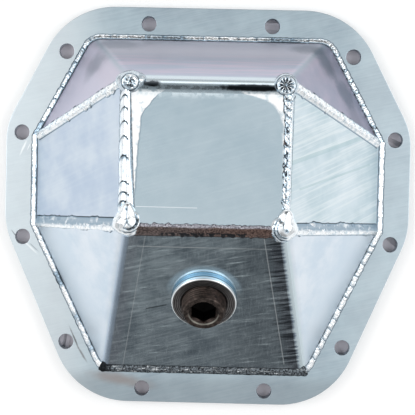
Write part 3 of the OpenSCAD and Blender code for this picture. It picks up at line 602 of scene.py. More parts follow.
def lay_bead(name, keys, edges, bow, ripple, swell, ragged, seed, rough=0.0, shade=even, full=2.6,
             crease=1.0, toe_line=0.0009):
    """Lays a bead through its sections. A section is its toe on one plate, its crest, its toe
    on the other plate and the points of its root. Edges are the distances at which a puddle
    starts, bow is how far its rim curves back, ripple how far it stands over the last one,
    shade adds painted shade across its width, full makes its flanks steeper, crease is how
    dark the painted shade in its rims is, and toe_line how wide the line of painted shade
    along each toe is."""
    rows = between(keys, bead_step)
    size = crown_steps + 1 + len(rows[0]) - 3
    bpy.ops.mesh.primitive_grid_add(x_subdivisions=size, y_subdivisions=len(rows) - 1, size=1)
    bead = bpy.context.object
    bead.name = name
    painted_shade_and_marks = bead.data.attributes.new("painted_shade_and_marks", "FLOAT", "POINT")
    across = bead.data.attributes.new("across", "FLOAT", "POINT")
    distance = 0.0
    for r, row in enumerate(rows):
        toe_a, crest, toe_b, *root = row
        if r:
            distance += (crest - rows[r - 1][1]).length
        middle = (toe_a + toe_b) / 2
        half = (toe_b - toe_a) / 2
        lift = crest - middle
        out = lift.normalized()
        wander = [noise.noise(Vector((distance * 300, seed * 7.3 + k, 0))) * ragged for k in (0, 9)]
        loop = []
        for k in range(crown_steps + 1):
            s = sin(pi / 2 * (2 * k / crown_steps - 1))
            behind = distance - bow * s * s
            last = max([e for e in edges if e <= behind], default=edges[0] - 0.01)
            rise = max(0.0, behind - last)
            wave = (1 - exp(-rise / 0.0006)) * exp(-rise / 0.016)
            bump = noise.noise(Vector((distance * 700, s * 3, seed))) * rough
            width = 1 + swell * (wave - 0.7) + wander[s > 0]
            base = middle + half * s * width
            crown = 1 - abs(s) ** full
            point = base + lift * crown + out * ((wave - 0.8) * ripple + bump) * (1 - s ** 4)
            toe = (1 - abs(s)) * half.length
            dark = max(crease * exp(-(rise / 0.0010) ** 2), min(crease, 1) * 0.5 * exp(-(rise / 0.0026) ** 2),
                       1.1 - toe / toe_line) + shade(s, distance)
            loop.append((point, dark, s))
        loop += [(p, 1.0, 0.0) for p in root] + [loop[0]]
        for k, (p, dark, s) in enumerate(loop):
            bead.data.vertices[r * (size + 1) + k].co = p
            painted_shade_and_marks.data[r * (size + 1) + k].value = min(max(dark, 0.0), 1.0)
            across.data[r * (size + 1) + k].value = s
    bpy.ops.object.mode_set(mode="EDIT")
    bpy.ops.mesh.select_all(action="SELECT")
    bpy.ops.mesh.remove_doubles(threshold=0.000001)
    bpy.ops.mesh.select_all(action="DESELECT")
    bpy.ops.mesh.select_non_manifold()
    bpy.ops.mesh.fill()
    bpy.ops.mesh.select_all(action="SELECT")
    bpy.ops.mesh.normals_make_consistent(inside=False)
    bpy.ops.object.mode_set(mode="OBJECT")
    bpy.ops.object.shade_smooth_by_angle(angle=radians(50))
    return bead


def ridge_section(at, p, q, lap_p, lap_q, crown):
    """Section of a bead on the open corner between plates p and q: toe on p, crest, toe on q,
    and the walls of the groove that its root fills."""
    mid = (p + q).normalized()
    out_p = (p.dot(q) * p - q).normalized()
    out_q = (p.dot(q) * q - p).normalized()
    deep = at - plate_t / mid.dot(p) * mid
    root_p = deep + root_gap / 2 * out_p
    root_q = deep + root_gap / 2 * out_q
    edge_p = root_p + plate_t * p
    edge_q = root_q + plate_t * q
    toe_p = edge_p + lap_p * out_p - toe_sink * p
    toe_q = edge_q + lap_q * out_q - toe_sink * q
    return [toe_p, at + crown * mid, toe_q, edge_q - toe_sink * q, root_q, root_p,
            edge_p - toe_sink * p]


# Weld steel under zinc: melted metal that froze in ripples, so it is smooth, very bright where
# it stands proud, and carries painted shade, mottled and with a few brown flecks, in its rims and along its toes.
bright_weld, tree, shader = finish_named("zinc plated weld steel")
deep = add(tree, "Attribute", attribute_name="painted_shade_and_marks").outputs["Fac"]
place = add(tree, "TexCoord").outputs["Object"]
grit = noise_at(tree, place, (0.0013, 0.0013, 0.0013), 3)
flecks = noise_at(tree, place, (0.0032, 0.0032, 0.0032), 3)
mottled_shade = maths(tree, "MULTIPLY", deep, ramp(tree, grit, 0.3, 0.55, 0.5, 1))
colour = tinted(tree, ramp(tree, flecks, 0.5, 0.75), "eef2f5", "cddae1")
colour = tinted(tree, ramp(tree, mottled_shade, 0.0, 0.5), colour, "a3b6c4")
colour = tinted(tree, ramp(tree, mottled_shade, 0.4, 1.0), colour, "1d252b")
brown = maths(tree, "MULTIPLY", maths(tree, "MULTIPLY", deep, ramp(tree, flecks, 0.5, 0.62)), 0.25)
colour = tinted(tree, brown, colour, "7b6a60")
shader.inputs["Metallic"].default_value = 1
shader.inputs["Roughness"].default_value = 0.22
tree.links.new(colour, shader.inputs["Base Color"])
pits = add(tree, "Bump", {"Strength": 0.35, "Distance": 0.0002, "Height": grit})
tree.links.new(pits.outputs[0], shader.inputs["Normal"])

# The same metal where it flowed smoothly: it has no pits, and is brighter and darker in long patches.
# It takes the same painted shade along its rims and toes.
smooth_weld, tree, shader = finish_named("smooth zinc plated weld steel")
deep = add(tree, "Attribute", attribute_name="painted_shade_and_marks").outputs["Fac"]
flow = noise_at(tree, add(tree, "TexCoord").outputs["Object"], (0.005, 0.003, 0.003), 3)
colour = tinted(tree, ramp(tree, flow, 0.45, 0.7), "f6f9fb", "cfdce5")
colour = tinted(tree, ramp(tree, deep, 0.0, 0.5), colour, "93a7b7")
colour = tinted(tree, ramp(tree, deep, 0.5, 1.0), colour, "39444d")
shader.inputs["Metallic"].default_value = 1
shader.inputs["Roughness"].default_value = 0.24
tree.links.new(colour, shader.inputs["Base Color"])

# Scaled weld steel: the bead under the face, which the zinc did not take to. It is mottled grey
# towards the face, brown and grainy along its crest, and black with painted shade along its foot.
brown_weld, tree, shader = finish_named("scaled weld steel")
place = add(tree, "TexCoord").outputs["Object"]
deep = add(tree, "Attribute", attribute_name="painted_shade_and_marks").outputs["Fac"]
side_of = add(tree, "Attribute", attribute_name="across").outputs["Fac"]
grit = noise_at(tree, place, (0.0010, 0.0010, 0.0010), 4, 0.7)
patches = noise_at(tree, place, (0.012, 0.006, 0.006), 3)
colour = tinted(tree, ramp(tree, grit, 0.36, 0.64), "2a1c1a", "7a645c")
leftward = ramp(tree, add(tree, "SeparateXYZ", {0: place}).outputs[0], -0.025, 0.03, 0.7, 0)
colour = tinted(tree, leftward, colour, tinted(tree, ramp(tree, grit, 0.36, 0.64), "211d1e", "7d7270"))
greyed = maths(tree, "MULTIPLY_ADD", patches, 0.5, maths(tree, "SUBTRACT", side_of, 0.25))
grey = tinted(tree, ramp(tree, grit, 0.38, 0.62), "5d5a64", "c3c3cb")
colour = tinted(tree, ramp(tree, greyed, 0.15, 0.45), colour, grey)
colour = tinted(tree, ramp(tree, deep, 0.3, 0.8), colour, "14151a")
shader.inputs["Metallic"].default_value = 0.7
shader.inputs["Roughness"].default_value = 0.42
tree.links.new(colour, shader.inputs["Base Color"])
pits = add(tree, "Bump", {"Strength": 0.7, "Distance": 0.0004, "Height": grit})
tree.links.new(pits.outputs[0], shader.inputs["Normal"])

# Sooted weld steel: the flange's bottom bead, dark and speckled with bright metal.
dark_weld, tree, shader = finish_named("sooted weld steel")
place = add(tree, "TexCoord").outputs["Object"]
deep = add(tree, "Attribute", attribute_name="painted_shade_and_marks").outputs["Fac"]
grit = noise_at(tree, place, (0.0012, 0.0012, 0.0012), 4, 0.7)
specks = noise_at(tree, place, (0.0070, 0.0012, 0.0012), 3, 0.6)
colour = tinted(tree, ramp(tree, grit, 0.36, 0.64), "181c20", "7a838a")
colour = tinted(tree, ramp(tree, specks, 0.56, 0.68), colour, "c3c9cc")
# Painted shade along its rims and toes, and in the dark patches laid along it.
colour = tinted(tree, ramp(tree, deep, 0.4, 1.0), colour, "1c2024")
shader.inputs["Metallic"].default_value = 0.85
shader.inputs["Roughness"].default_value = 0.35
tree.links.new(colour, shader.inputs["Base Color"])
pits = add(tree, "Bump", {"Strength": 0.6, "Distance": 0.0004, "Height": grit})
tree.links.new(pits.outputs[0], shader.inputs["Normal"])


def keep_bead(bead, node, finish):
    """Gives a bead its finish and sets it in place of the plain bead of the frame."""
    bead.data.materials.append(finish)
    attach(bead, "root")
    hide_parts(node)


def puddles(length, pitch, seed):
    """Distances at which puddles start along a bead, a little unevenly, as by hand."""
    count = max(2, round(length / pitch))
    return [length * (k + 0.3 * noise.noise(Vector((k * 3.7, seed, 0.5)))) / count
            for k in range(count)]


corner_gap = 0.004
stacked_rims = (0.0020, 0.0070, 0.0157, 0.0257, 0.0365, 0.0502, 0.0688, 0.0767, 0.0832, 0.0925)
bead_top_z = flange_z + 0.0025

# Face's left edge: wide, with long crescents like stacked coins, laid from the top downwards,
# and wider over the face towards its lower end.
down = (face_lower - face_upper).normalized()
keys = [ridge_section(face_upper + at * down, face, side_panel, lap, 0.0042, crown)
        for at, lap, crown in ((0.004, 0.0001, 0.0016), (0.045, 0.0004, 0.0017),
                               (0.072, 0.0022, 0.0018), (0.103, 0.0050, 0.0019))]


def stacked_shade(s, distance):
    """Blue-grey patches of painted shade under two of the crescents, and a short mark along the crest."""
    patches = sum(0.45 * exp(-((distance - at) / 0.0024) ** 2) for at in (0.0525, 0.0865))
    mark = 0.9 if abs(s + 0.05) < 0.07 and 0.0605 < distance < 0.0655 else 0.0
    return patches * exp(-(s / 0.7) ** 4) + mark


bead = lay_bead("left_face_bead", keys, stacked_rims, 0.0055, 0.0009, 0.14, 0.05, 1, 0.0,
                stacked_shade, crease=2.6)
keep_bead(bead, "face_weld_left", bright_weld)

# Face's right edge: coarse hanging puddles at its top, then narrow and ragged.
start = mirrored(face_upper) + corner_gap * down
end = mirrored(face_lower) - corner_gap * down
right_rims = (0.002, 0.0045, 0.009, 0.015, 0.021, 0.0265) + tuple(0.031 + k * 0.0052 for k in range(13))
keys = [ridge_section(start, face, mirrored(side_panel), 0.0018, 0.0034, 0.0013),
        ridge_section(start + 0.024 * down, face, mirrored(side_panel), 0.0004, 0.0022, 0.0011),
        ridge_section(start + 0.030 * down, face, mirrored(side_panel), 0.0002, 0.0004, 0.0008),
        ridge_section(end, face, mirrored(side_panel), 0.0010, 0.0008, 0.0007)]


def flecked(s, distance):
    """Blue-grey flecks all along the narrow part, and a dark line on the face's side."""
    if distance < 0.028:
        return 0.15
    spots = noise.noise(Vector((distance * 260, s * 2, 4.4)))
    return 0.1 + 0.7 * spots + (0.5 * max(0.0, 0.3 + spots) if -0.75 < s < -0.35 else 0.0)


bead = lay_bead("right_face_bead", keys, right_rims, -0.0045, 0.0009, 0.2, 0.2, 2, 0.0005,
                flecked, crease=0.9)
keep_bead(bead, "face_weld_right", bright_weld)

# Face's bottom edge: broad, low and grainy, with painted shade black along its foot in the middle.
keys = [ridge_section(face_lower + Vector((corner_gap, 0, 0)), bottom, face, 0.0052, 0.0012, 0.0010),
        ridge_section(mirrored(face_lower) - Vector((corner_gap, 0, 0)), bottom, face,
                      0.0048, 0.0010, 0.0010)]
bead = lay_bead("bottom_face_bead", keys, puddles(0.11, 0.007, 3), 0.0025, 0.0003, 0.10, 0.25, 3,
                0.0006, lambda s, distance: 1.0 if s < -0.55 and 0.022 < distance < 0.085 else 0.0,
                crease=0.5)
keep_bead(bead, "face_weld_bottom", brown_weld)

# Ridges down to the flange: thin and beaded above, with painted shade along the wing's side,
# and broad below, with painted shade grey on the upper flank.
upper_shade = lambda s, distance: 0.3 if s < -0.65 else -0.8 * max(0.0, s - 0.4)


def lower_shade(s, distance):
    """Painted shade: grey in patches on the upper flank, and dark along the lower toe."""
    patch_here = 0.32 + 0.5 * noise.noise(Vector((distance * 150, s * 2, 6.1)))
    return patch_here / (1 + exp((s + 0.05) / 0.12)) + (0.4 if s > 0.82 else 0.0)


for side, turn in (("left", lambda v: v.copy()), ("right", mirrored)):
    for part, p, q, a, b, laps, crown, pitch, ripple, swell, rag, bow, shade, crease, toe_line in (
            ("upper", upper_wing, side_panel, face_upper, foot_upper, (0.0026, 0.0020), 0.0022, 0.0075,
             0.0012, 0.15, 0.3, 0.002, upper_shade, 0.3, 0.0010),
            ("lower", side_panel, lower_wing, face_lower, foot_lower, (0.0052, 0.0016), 0.0014, 0.009,
             0.00015, 0.04, 0.12, 0.003, lower_shade, 0.05, 0.0006)):
        way = (b - a).normalized()
        stop = a + way * (bead_top_z - a.z) / way.z
        begin = a + corner_gap * way
        keys = []
        for k in range(17):
            waver = 0.0022 * noise.noise(Vector((k * 0.7, len(side), len(part) + 0.4)))
            keys.append(ridge_section(turn(begin.lerp(stop, k / 16)), turn(p), turn(q),
                                      laps[0] + waver, laps[1] - waver, crown))
        bead = lay_bead(f"{part}_{side}_ridge_bead", keys, puddles((stop - begin).length, pitch, len(part)),
                        bow, ripple, swell, rag, 5, 0.0003, shade, crease=crease, toe_line=toe_line)
        keep_bead(bead, f"ridge_weld_{part}_{side}", smooth_weld)


# Fillet welds round the foot: they join the dome to the flange in eight runs, from the middle of
# each folded corner or ridge to the next. Most are bright, and the bottom one is dark and grainy.
fold_out = 0.01415
fillet_leg = 0.0038
fillet_rise = 0.0018
fillet_bulge = 0.0009
fold_steps = 6
upright = Vector((0, 0, 1))


def meet(*planes):
    """The point where three planes meet, each a normal and a point on it."""
    return Matrix([n for n, point in planes]).inverted() @ Vector([n.dot(point) for n, point in planes])


def level(n):
    """The direction of a normal along the flange."""
    return Vector((n.x, n.y, 0)).normalized()


def fillet_section(foot, up_toe, flat_toe, n):
    """Section of a fillet bead: toe on the dome, crest, toe on the flange, and its root."""
    middle = (up_toe + flat_toe) / 2
    chord = (flat_toe - up_toe).normalized()
    out = (middle - foot - (middle - foot).dot(chord) * chord).normalized()
    return [up_toe - toe_sink * n, middle + fillet_bulge * out, flat_toe - toe_sink * upright,
            foot - toe_sink * (n + upright)]


def fold_sections(p, q, foot, share_a, share_b, knob=0.0):
    """Sections round the foot of the fold between plates p and q, over that share of its bend.
    Knob is how much bigger the bead starts, where it ends in a blob."""
    axis = p.cross(q)
    base = meet((p, foot - fold_out * p), (q, foot - fold_out * q), (upright, foot))
    made = []
    for k in range(fold_steps + 1):
        n = p.slerp(q, share_a + (share_b - share_a) * k / fold_steps)
        at = base + fold_out * n - axis * (fold_out * n.z / axis.z)
        big = 1 + knob * max(0.0, 1 - (2.4 * k / fold_steps - 0.5) ** 2)
        up_toe = at + axis * (big * fillet_rise / axis.z)
        made.append(fillet_section(at, up_toe, at + big * fillet_leg * level(n), n))
    return made


def ridge_foot_section(p, q, foot, peak):
    """Section at the foot of the ridge between plates p and q, mitred on the flange."""
    way = peak - foot
    reach = (level(p) + level(q)) / (1 + level(p).dot(level(q)))
    return fillet_section(foot, foot + way * (fillet_rise / way.z), foot + fillet_leg * reach,
                          (p + q).normalized())


def other_side(sections):
    """The same sections on the cover's other side, in the opposite order."""
    return [[mirrored(v) for v in section] for section in reversed(sections)]


round_top = fold_sections(top, upper_wing, foot_top, 0.5, 0)
round_bottom = fold_sections(bottom, lower_wing, foot_bottom, 0.5, 0, 0.4)
at_upper = ridge_foot_section(upper_wing, side_panel, foot_upper, face_upper)
at_lower = ridge_foot_section(side_panel, lower_wing, foot_lower, face_lower)
to_upper = fold_sections(top, upper_wing, foot_top, 0.5, 1) + [at_upper]
to_bottom = [at_lower] + fold_sections(bottom, lower_wing, foot_bottom, 1, 0.5)


def marks_and_shade_at(*spots):
    """Dark patches along a bead, partly dark marks of its own and partly painted shade: each
    at a distance, with its length and strength.
    """
    def shade(s, distance):
        return sum(strength * exp(-((distance - at) / length) ** 4) for at, length, strength in spots)
    return shade


for part, keys, pitch, ripple, rag, rough, finish, crease, shade in (
        ("top", round_top + other_side(round_top), 0.014, 0.0003, 0.25, 0.0002, smooth_weld, 0.5,
         marks_and_shade_at((0.060, 0.020, 0.3), (0.150, 0.015, 0.35))),
        ("bottom", round_bottom + other_side(round_bottom), 0.009, 0.0003, 0.2, 0.0007, dark_weld, 1,
         marks_and_shade_at((0.0, 0.009, 1), (0.176, 0.006, 1))),
        ("upper_left", to_upper, 0.011, 0.0004, 0.3, 0.0003, smooth_weld, 0.6,
         marks_and_shade_at((0.030, 0.030, 0.25), (0.084, 0.009, 0.45))),
        ("upper_right", other_side(to_upper), 0.011, 0.0004, 0.3, 0.0003, bright_weld, 0.9,
         marks_and_shade_at((0.010, 0.009, 0.35), (0.060, 0.030, 0.15))),
        ("left", [at_upper, at_lower], 0.012, 0.0003, 0.25, 0.0002, smooth_weld, 0.25,
         marks_and_shade_at((0.034, 0.030, 0.12), (0.034, 0.010, 0.15))),
        ("right", other_side([at_upper, at_lower]), 0.012, 0.0003, 0.25, 0.0002, smooth_weld, 0.25, even),
        ("lower_left", to_bottom, 0.014, 0.0004, 0.3, 0.0003, smooth_weld, 0.3,
         marks_and_shade_at((0.0475, 0.0065, 0.6), (0.082, 0.006, 0.3), (0.107, 0.005, 0.3))),
        ("lower_right", other_side(to_bottom), 0.009, 0.0006, 0.35, 0.0004, bright_weld, 0.8, even)):
    run = sum((b[0] - a[0]).length for a, b in zip(keys, keys[1:]))
    bead = lay_bead(part + "_flange_bead", keys, puddles(run, pitch, len(part)), 0.0016, ripple,
                    0.12, rag, len(part), rough, shade, 2.2, crease, 0.0013)
    keep_bead(bead, "flange_weld_" + part, finish)


# Corner welds: at each corner of the face three plates and three beads meet under one round
# button of weld metal, where the arc was held until it filled and then left its crater.
ball_r = 0.009
broad_r = 0.0108
ball_cut = 0.0079


def corner_ball(name, node, corner, panels, sink, shape, finish, radius=ball_r):
    """A button of weld metal at a corner of the face. Shape gives how far it stands out along a
    ray from its middle, and how dark it is there, by painted shade and dark marks."""
    mid = sum(panels, Vector()).normalized()
    centre = corner - sink * mid
    bpy.ops.mesh.primitive_uv_sphere_add(segments=96, ring_count=72, radius=radius)
    ball = bpy.context.object
    ball.name = name
    painted_shade_and_marks = ball.data.attributes.new("painted_shade_and_marks", "FLOAT", "POINT")
    for vertex in ball.data.vertices:
        ray = vertex.co.normalized()
        high, dark = shape(ray)
        high += 0.0004 * noise.noise(ray * 3.5 + corner * 40)
        painted_shade_and_marks.data[vertex.index].value = min(max(dark, 0.0), 1.0)
        vertex.co = centre + ray * (radius + high)
    bpy.ops.object.mode_set(mode="EDIT")
    bpy.ops.mesh.select_all(action="SELECT")
    bpy.ops.mesh.bisect(plane_co=corner - ball_cut * mid, plane_no=mid, use_fill=True,
                        clear_inner=True)
    bpy.ops.object.mode_set(mode="OBJECT")
    bpy.ops.object.shade_smooth_by_angle(angle=radians(50))
    ball.data.materials.append(finish)
    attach(ball, "root")
    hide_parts(node)


def seen(ray):
    """Distance of a ray's end from the button's pole and its angle round it, as seen from above."""
    return ball_r * sqrt(ray.x * ray.x + ray.y * ray.y), atan2(ray.y, ray.x)


def hump(value, middle, width):
    """One where the value is at the middle, fading to none a width or so away."""
    return exp(-((value - middle) / width) ** 2)


def lobe(ray, angle, spread, lift=0.15):
    """One on the flank that looks along an angle, fading to none away from it."""
    flank = Vector((cos(radians(angle)), sin(radians(angle)), lift)).normalized()
    return exp(-(ray.angle(flank) / spread) ** 2)


def star_crater(ray):
    """A round rim with a crater in it, and bright frozen ridges that run out from its middle. It
    is greyed all over, and painted shade darkens the crater between the ridges and lines the
    rim's outer foot.
    """
    out, angle = seen(ray)
    spoke = 0.5 + 0.5 * cos(11 * angle + 0.6 * sin(3 * angle))
    inside = 1 / (1 + exp((out - 0.0050) / 0.0002))
    middle = hump(out, 0, 0.0013)
    high = 0.0008 * hump(out, 0.0058, 0.0008) - 0.0012 * inside * (1 - 0.7 * spoke * (1 - middle))
    groove = inside * (1 - middle) * (1.3 - 1.6 * spoke ** 1.5)
    return high, 0.25 + groove + 0.8 * hump(out, 0.0071, 0.0004)


def heaped(ray):
    """A button with a smaller heap on each side, and a broken crater, half darkened by painted
    shade. It is greyed all over, and painted shade lines its foot.
    """
    out, angle = seen(ray)
    heaps = 0.0020 * lobe(ray, 165, 0.45) + 0.0030 * lobe(ray, 20, 0.5)
    broken = noise.noise(Vector((ray.x * 5, ray.y * 5, 3.1)))
    crescent = hump(out, 0.0047, 0.0009) * max(0.0, cos(angle - radians(50)))
    inside = 1 / (1 + exp((out - 0.0045) / 0.0003))
    high = heaps + 0.0007 * crescent - 0.0009 * inside + 0.0008 * inside * broken
    return high, 0.3 + inside * (0.35 + 1.6 * broken) - crescent + 0.7 * hump(out, 0.0060, 0.0004)


def end_loop(ray):
    """The last puddle of the stacked bead: a bright drop that points up the bead, with a line
    of painted shade and a bright loop round its lower right side, and a seam down its middle,
    darkened by painted shade, that ends in a fork."""
    x, y = ray.x * broad_r, ray.y * broad_r
    out, angle = sqrt(x * x + (y - 0.0015) ** 2), atan2(y - 0.0015, x)
    lower_right = max(0.0, cos(angle + radians(40))) ** 0.6
    loop = hump(out, 0.0077, 0.0008) * lower_right
    line = (hump(out, 0.0065, 0.0006) + hump(out, 0.0089, 0.0004)) * lower_right
    fork = 0.0003 + max(0.0, -0.0004 - y) * 0.6
    mark = hump(abs(x + 0.0004), fork, 0.00045) * hump(y, -0.0005, 0.0024)
    mark += 0.6 * hump(x, -0.0008, 0.0004) * hump(y, 0.0040, 0.0022)
    mark += hump(x, -0.0009, 0.0008) * hump(y, 0.0074, 0.0007)
    merged = 0.0062 * lobe(ray, 94, 0.42, 0.55) + 0.0016 * lobe(ray, 200, 0.45)
    return merged + 0.0011 * loop - 0.0007 * line - 0.0003 * mark, 1.3 * line + mark


def hooked(ray):
    """A bright drop right of the middle, with a dark hook in it, that points up the bead. Crescents
    and a band of painted shade stand round its left side, with a painted black shadow at its
    outline below them."""
    x, y = ray.x * broad_r - 0.0026, ray.y * broad_r + 0.0006
    out, angle = sqrt(x * x + y * y), atan2(y, x)
    left = max(0.0, cos(angle - radians(200))) ** 0.5
    hook = hump(sqrt((x - 0.0004) ** 2 + (y + 0.0012) ** 2), 0, 0.0015)
    hook += 1.2 * hump(x, -0.0018, 0.0005) * hump(y, 0.0026, 0.0018)
    uneven = 0.75 + 0.9 * noise.noise(Vector((angle * 3, out * 300, 2.2)))
    creases = (hump(out, 0.0064, 0.0005) + hump(out, 0.0088, 0.0005)) * left * uneven
    grey = 0.36 * hump(out, 0.0080, 0.0018) * left
    # Painted shadow at the lower left outline.
    black = hump(out, 0.0120, 0.0012) * (hump(angle, radians(-168), 0.2) +
                                         hump(angle, radians(-143), 0.2))
    merged = 0.0058 * lobe(ray, 74, 0.42, 0.55) + 0.0012 * lobe(ray, 200, 0.4)
    high = merged + 0.0014 * lobe(ray, -8, 0.45) - 0.0005 * creases - 0.0010 * black
    return high, 0.9 * hook + 1.1 * creases + grey + 1.5 * black


panels_upper = [face, top, upper_wing, side_panel]
panels_lower = [face, bottom, lower_wing, side_panel]
corner_ball("upper_left_button", "corner_weld_upper_left", face_upper, panels_upper, 0.0062,
            heaped, bright_weld)
corner_ball("upper_right_button", "corner_weld_upper_right", mirrored(face_upper),
            [mirrored(n) for n in panels_upper], 0.0060, star_crater, bright_weld)
corner_ball("lower_left_button", "corner_weld_lower_left", face_lower + Vector((0.0004, 0.002, 0)),
            panels_lower, 0.0072, end_loop, bright_weld, broad_r)
corner_ball("lower_right_button", "corner_weld_lower_right", mirrored(face_lower),
            [mirrored(n) for n in panels_lower], 0.0075, hooked, bright_weld, broad_r)


# Fill bung: a ring turned from round bar, threaded inside and set through the bottom slope. Its
# end face keeps the lathe's fine rings and has gone brown-grey, and its rim has a painted highlight.
bung_edge = 0.00025

bung = plate_copy("fill_bung", "bung")
soften(bung, bung_edge, 20)
turned_steel, tree, shader = finish_named("turned carbon steel")
place = add(tree, "TexCoord").outputs["Object"]
on_axis = add(tree, "Mapping", {0: place, "Location": bung_at,
                                "Rotation": bottom.to_track_quat("Z", "Y").to_euler()},
              vector_type="TEXTURE")
parts = add(tree, "SeparateXYZ", {0: on_axis.outputs[0]}).outputs
flat = add(tree, "CombineXYZ", {0: parts["X"], 1: parts["Y"]})
radius = add(tree, "VectorMath", {0: flat.outputs[0]}, operation="LENGTH")
cut = add(tree, "Math", {0: radius.outputs["Value"], 1: 2 * pi / 0.0014}, operation="MULTIPLY")
rings = add(tree, "Math", {0: cut.outputs[0]}, operation="SINE")
grit = add(tree, "TexNoise", {0: place, "Scale": 1 / 0.004, "Detail": 4, "Roughness": 0.7})
blend = add(tree, "MapRange", {"Value": grit.outputs[0], "From Min": 0.3, "From Max": 0.7})
end_tone = tinted(tree, blend.outputs[0], "242222", "524f4f")
end_tone = tinted(tree, ramp(tree, rings.outputs[0], -0.2, 0.9, 0, 0.45), end_tone, "a2a1a1")
# Painted highlight: a bright ring round the rim of the end face.
end_tone = tinted(tree, ramp(tree, radius.outputs["Value"], 0.0232, 0.0240), end_tone, "f2f6f8")
wall_tone = tinted(tree, ramp(tree, parts["Z"], 0.0022, 0.0030), "a3c4d8", "eef5f9")
wall_tone = tinted(tree, maths(tree, "COMPARE", parts["Z"], 0.0024, 0.0004), wall_tone, "3c4a55")
colour = tinted(tree, ramp(tree, parts["Z"], 0.0048, 0.0056), wall_tone, end_tone)
lathe = add(tree, "Bump", {"Strength": 0.5, "Distance": 0.00008, "Height": rings.outputs[0]})
shader.inputs["Metallic"].default_value = 0.9
shader.inputs["Roughness"].default_value = 0.36
tree.links.new(colour, shader.inputs["Base Color"])
tree.links.new(lathe.outputs[0], shader.inputs["Normal"])
bung.data.materials.append(turned_steel)
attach(bung, "root")
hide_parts("fill_bung")


# Bung weld: one fillet bead round the bung on the inside of the slope, where it seals the hole.
bung_r = 0.0245
inner_leg = 0.005
bung_x = Vector((1, 0, 0))
bung_y = bottom.cross(bung_x)
keys = []
for k in range(72):
    way = cos(2 * pi * k / 72) * bung_x + sin(2 * pi * k / 72) * bung_y
    inside = bung_at - plate_t * bottom
    on_bung = inside + bung_r * way - inner_leg * bottom
    on_plate = inside + (bung_r + inner_leg) * way
    out = (way - bottom).normalized()
    keys.append([on_bung - toe_sink * way, (on_bung + on_plate) / 2 + 0.0008 * out,
                 on_plate + toe_sink * bottom, inside + bung_r * way + toe_sink * (bottom - way)])
keys.append(keys[0])
bead = lay_bead("bung_bead", keys, puddles(2 * pi * 0.027, 0.006, 8), 0.0015, 0.0004, 0.1, 0.04, 8)
keep_bead(bead, "bung_inner_weld", bright_weld)


# Fill plug: a cast pipe plug with a hexagonal socket, screwed into the bung. It was blackened,
# and the rim of its socket has rubbed to brown. Painted highlights lie along its thread and on
# the lower side of its socket's bevel, and painted shade deep in its socket.
plug_r = 0.0167
plug_end = 0.0169
plug_end_r = 0.0148
plug_len = 0.025
thread_pitch = 0.00221
thread_depth = 0.0011
socket_r = 0.0118
hex_half = 0.009
hex_depth = 0.013
plug_columns = 120
plug_row = 0.0002


def on_hexagon(angle):
    """Radius of the hexagonal socket at an angle, with a corner at the top."""
    return hex_half / cos((angle - pi / 2) % (pi / 3) - pi / 6)


def on_thread(z, angle):
    """Radius of the plug's thread at a height and an angle."""
    turn = (z / thread_pitch - angle / (2 * pi)) % 1
    crest = min(1.0, 1.25 * (1 - abs(2 * turn - 1)))
    limit = min(plug_r, plug_end_r + (plug_end - z), plug_end_r + (z - plug_end + plug_len))
    return min(limit, plug_r - thread_depth * (1 - crest))


profile = [(plug_end - plug_len, lambda a: 0.0)]
steps = round(plug_len / plug_row)
for k in range(steps + 1):
    z = plug_end - plug_len + k * plug_row
    profile.append((z, lambda a, z=z: on_thread(z, a)))
profile.append((plug_end, lambda a: socket_r + 0.0003))
flare = socket_r - hex_half
for k in range(15):
    z = plug_end - flare * k / 14
    profile.append((z, lambda a, k=k: max(on_hexagon(a), socket_r - flare * k / 14)))
profile += [(plug_end - hex_depth, on_hexagon), (plug_end - hex_depth - 0.002, lambda a: 0.0)]
bpy.ops.mesh.primitive_grid_add(x_subdivisions=plug_columns, y_subdivisions=len(profile) - 1, size=1)
plug = bpy.context.object
plug.name = "plug"
for r, (z, radius_at) in enumerate(profile):
    for k in range(plug_columns + 1):
        angle = 2 * pi * (k % plug_columns) / plug_columns
        way = cos(angle) * bung_x + sin(angle) * bung_y
        at = bung_at + z * bottom + radius_at(angle) * way
        plug.data.vertices[r * (plug_columns + 1) + k].co = at
bpy.ops.object.mode_set(mode="EDIT")
bpy.ops.mesh.select_all(action="SELECT")
bpy.ops.mesh.remove_doubles(threshold=0.000001)
bpy.ops.mesh.normals_make_consistent(inside=False)
bpy.ops.object.mode_set(mode="OBJECT")
bpy.ops.object.shade_smooth_by_angle(angle=radians(30))

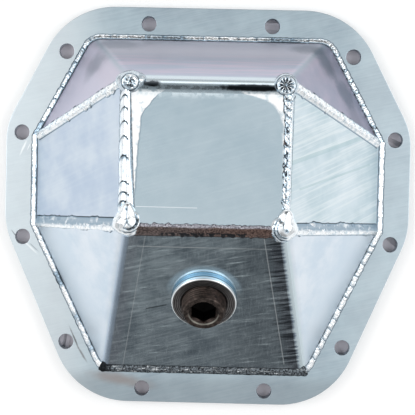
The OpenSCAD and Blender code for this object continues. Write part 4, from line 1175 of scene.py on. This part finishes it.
# Blackened cast iron: nearly black oxide over grey iron, brown where the wrench has rubbed it.
black_iron, tree, shader = finish_named("blackened cast iron")
place = add(tree, "TexCoord").outputs["Object"]
grit = add(tree, "TexNoise", {0: place, "Scale": 1 / 0.003, "Detail": 4, "Roughness": 0.7})
worn = ramp(tree, grit.outputs[0], 0.35, 0.7)
on_axis = add(tree, "Mapping", {0: place, "Location": bung_at,
                                "Rotation": bottom.to_track_quat("Z", "Y").to_euler()},
              vector_type="TEXTURE")
parts = add(tree, "SeparateXYZ", {0: on_axis.outputs[0]}).outputs
colour = tinted(tree, worn, "15110f", "3d322e")
colour = tinted(tree, ramp(tree, parts["Z"], plug_end - 0.0012, plug_end - 0.0003), colour,
                tinted(tree, worn, "231d1a", "554b46"))
# Painted highlights along the thread's crests.
cut = maths(tree, "SINE", maths(tree, "MULTIPLY", parts["Z"], 2 * pi / thread_pitch), 0)
lines = maths(tree, "MULTIPLY", ramp(tree, cut, 0.2, 0.9, 0, 0.45),
              ramp(tree, parts["Z"], plug_end - 0.0018, plug_end - 0.0014, 1, 0))
colour = tinted(tree, lines, colour, "685d57")
flat = add(tree, "CombineXYZ", {0: parts["X"], 1: parts["Y"]}).outputs[0]
out = add(tree, "VectorMath", {0: flat}, operation="LENGTH").outputs["Value"]
# Painted highlight on the lower side of the socket's bevel, and painted shade on the socket's walls deep inside.
socket_bevel_highlight = maths(tree, "MULTIPLY", ramp(tree, out, 0.0106, 0.0112), ramp(tree, out, socket_r - 0.0004, socket_r, 1, 0))
socket_bevel_highlight = maths(tree, "MULTIPLY", socket_bevel_highlight, ramp(tree, parts["Y"], 0.001, -0.004, 0, 0.8))
socket_shade = maths(tree, "MULTIPLY", ramp(tree, parts["Z"], plug_end - 0.0040, plug_end - 0.0026, 1, 0),
                    ramp(tree, out, 0.0108, 0.0116, 1, 0))
colour = tinted(tree, socket_shade, colour, "060505")
colour = tinted(tree, socket_bevel_highlight, colour, "7d7c75")
pits = add(tree, "Bump", {"Strength": 0.4, "Distance": 0.0002, "Height": grit.outputs[0]})
shader.inputs["Metallic"].default_value = 0.8
shader.inputs["Roughness"].default_value = 0.42
tree.links.new(colour, shader.inputs["Base Color"])
tree.links.new(pits.outputs[0], shader.inputs["Normal"])
plug.data.materials.append(black_iron)
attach(plug, "root")
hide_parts("fill_plug")
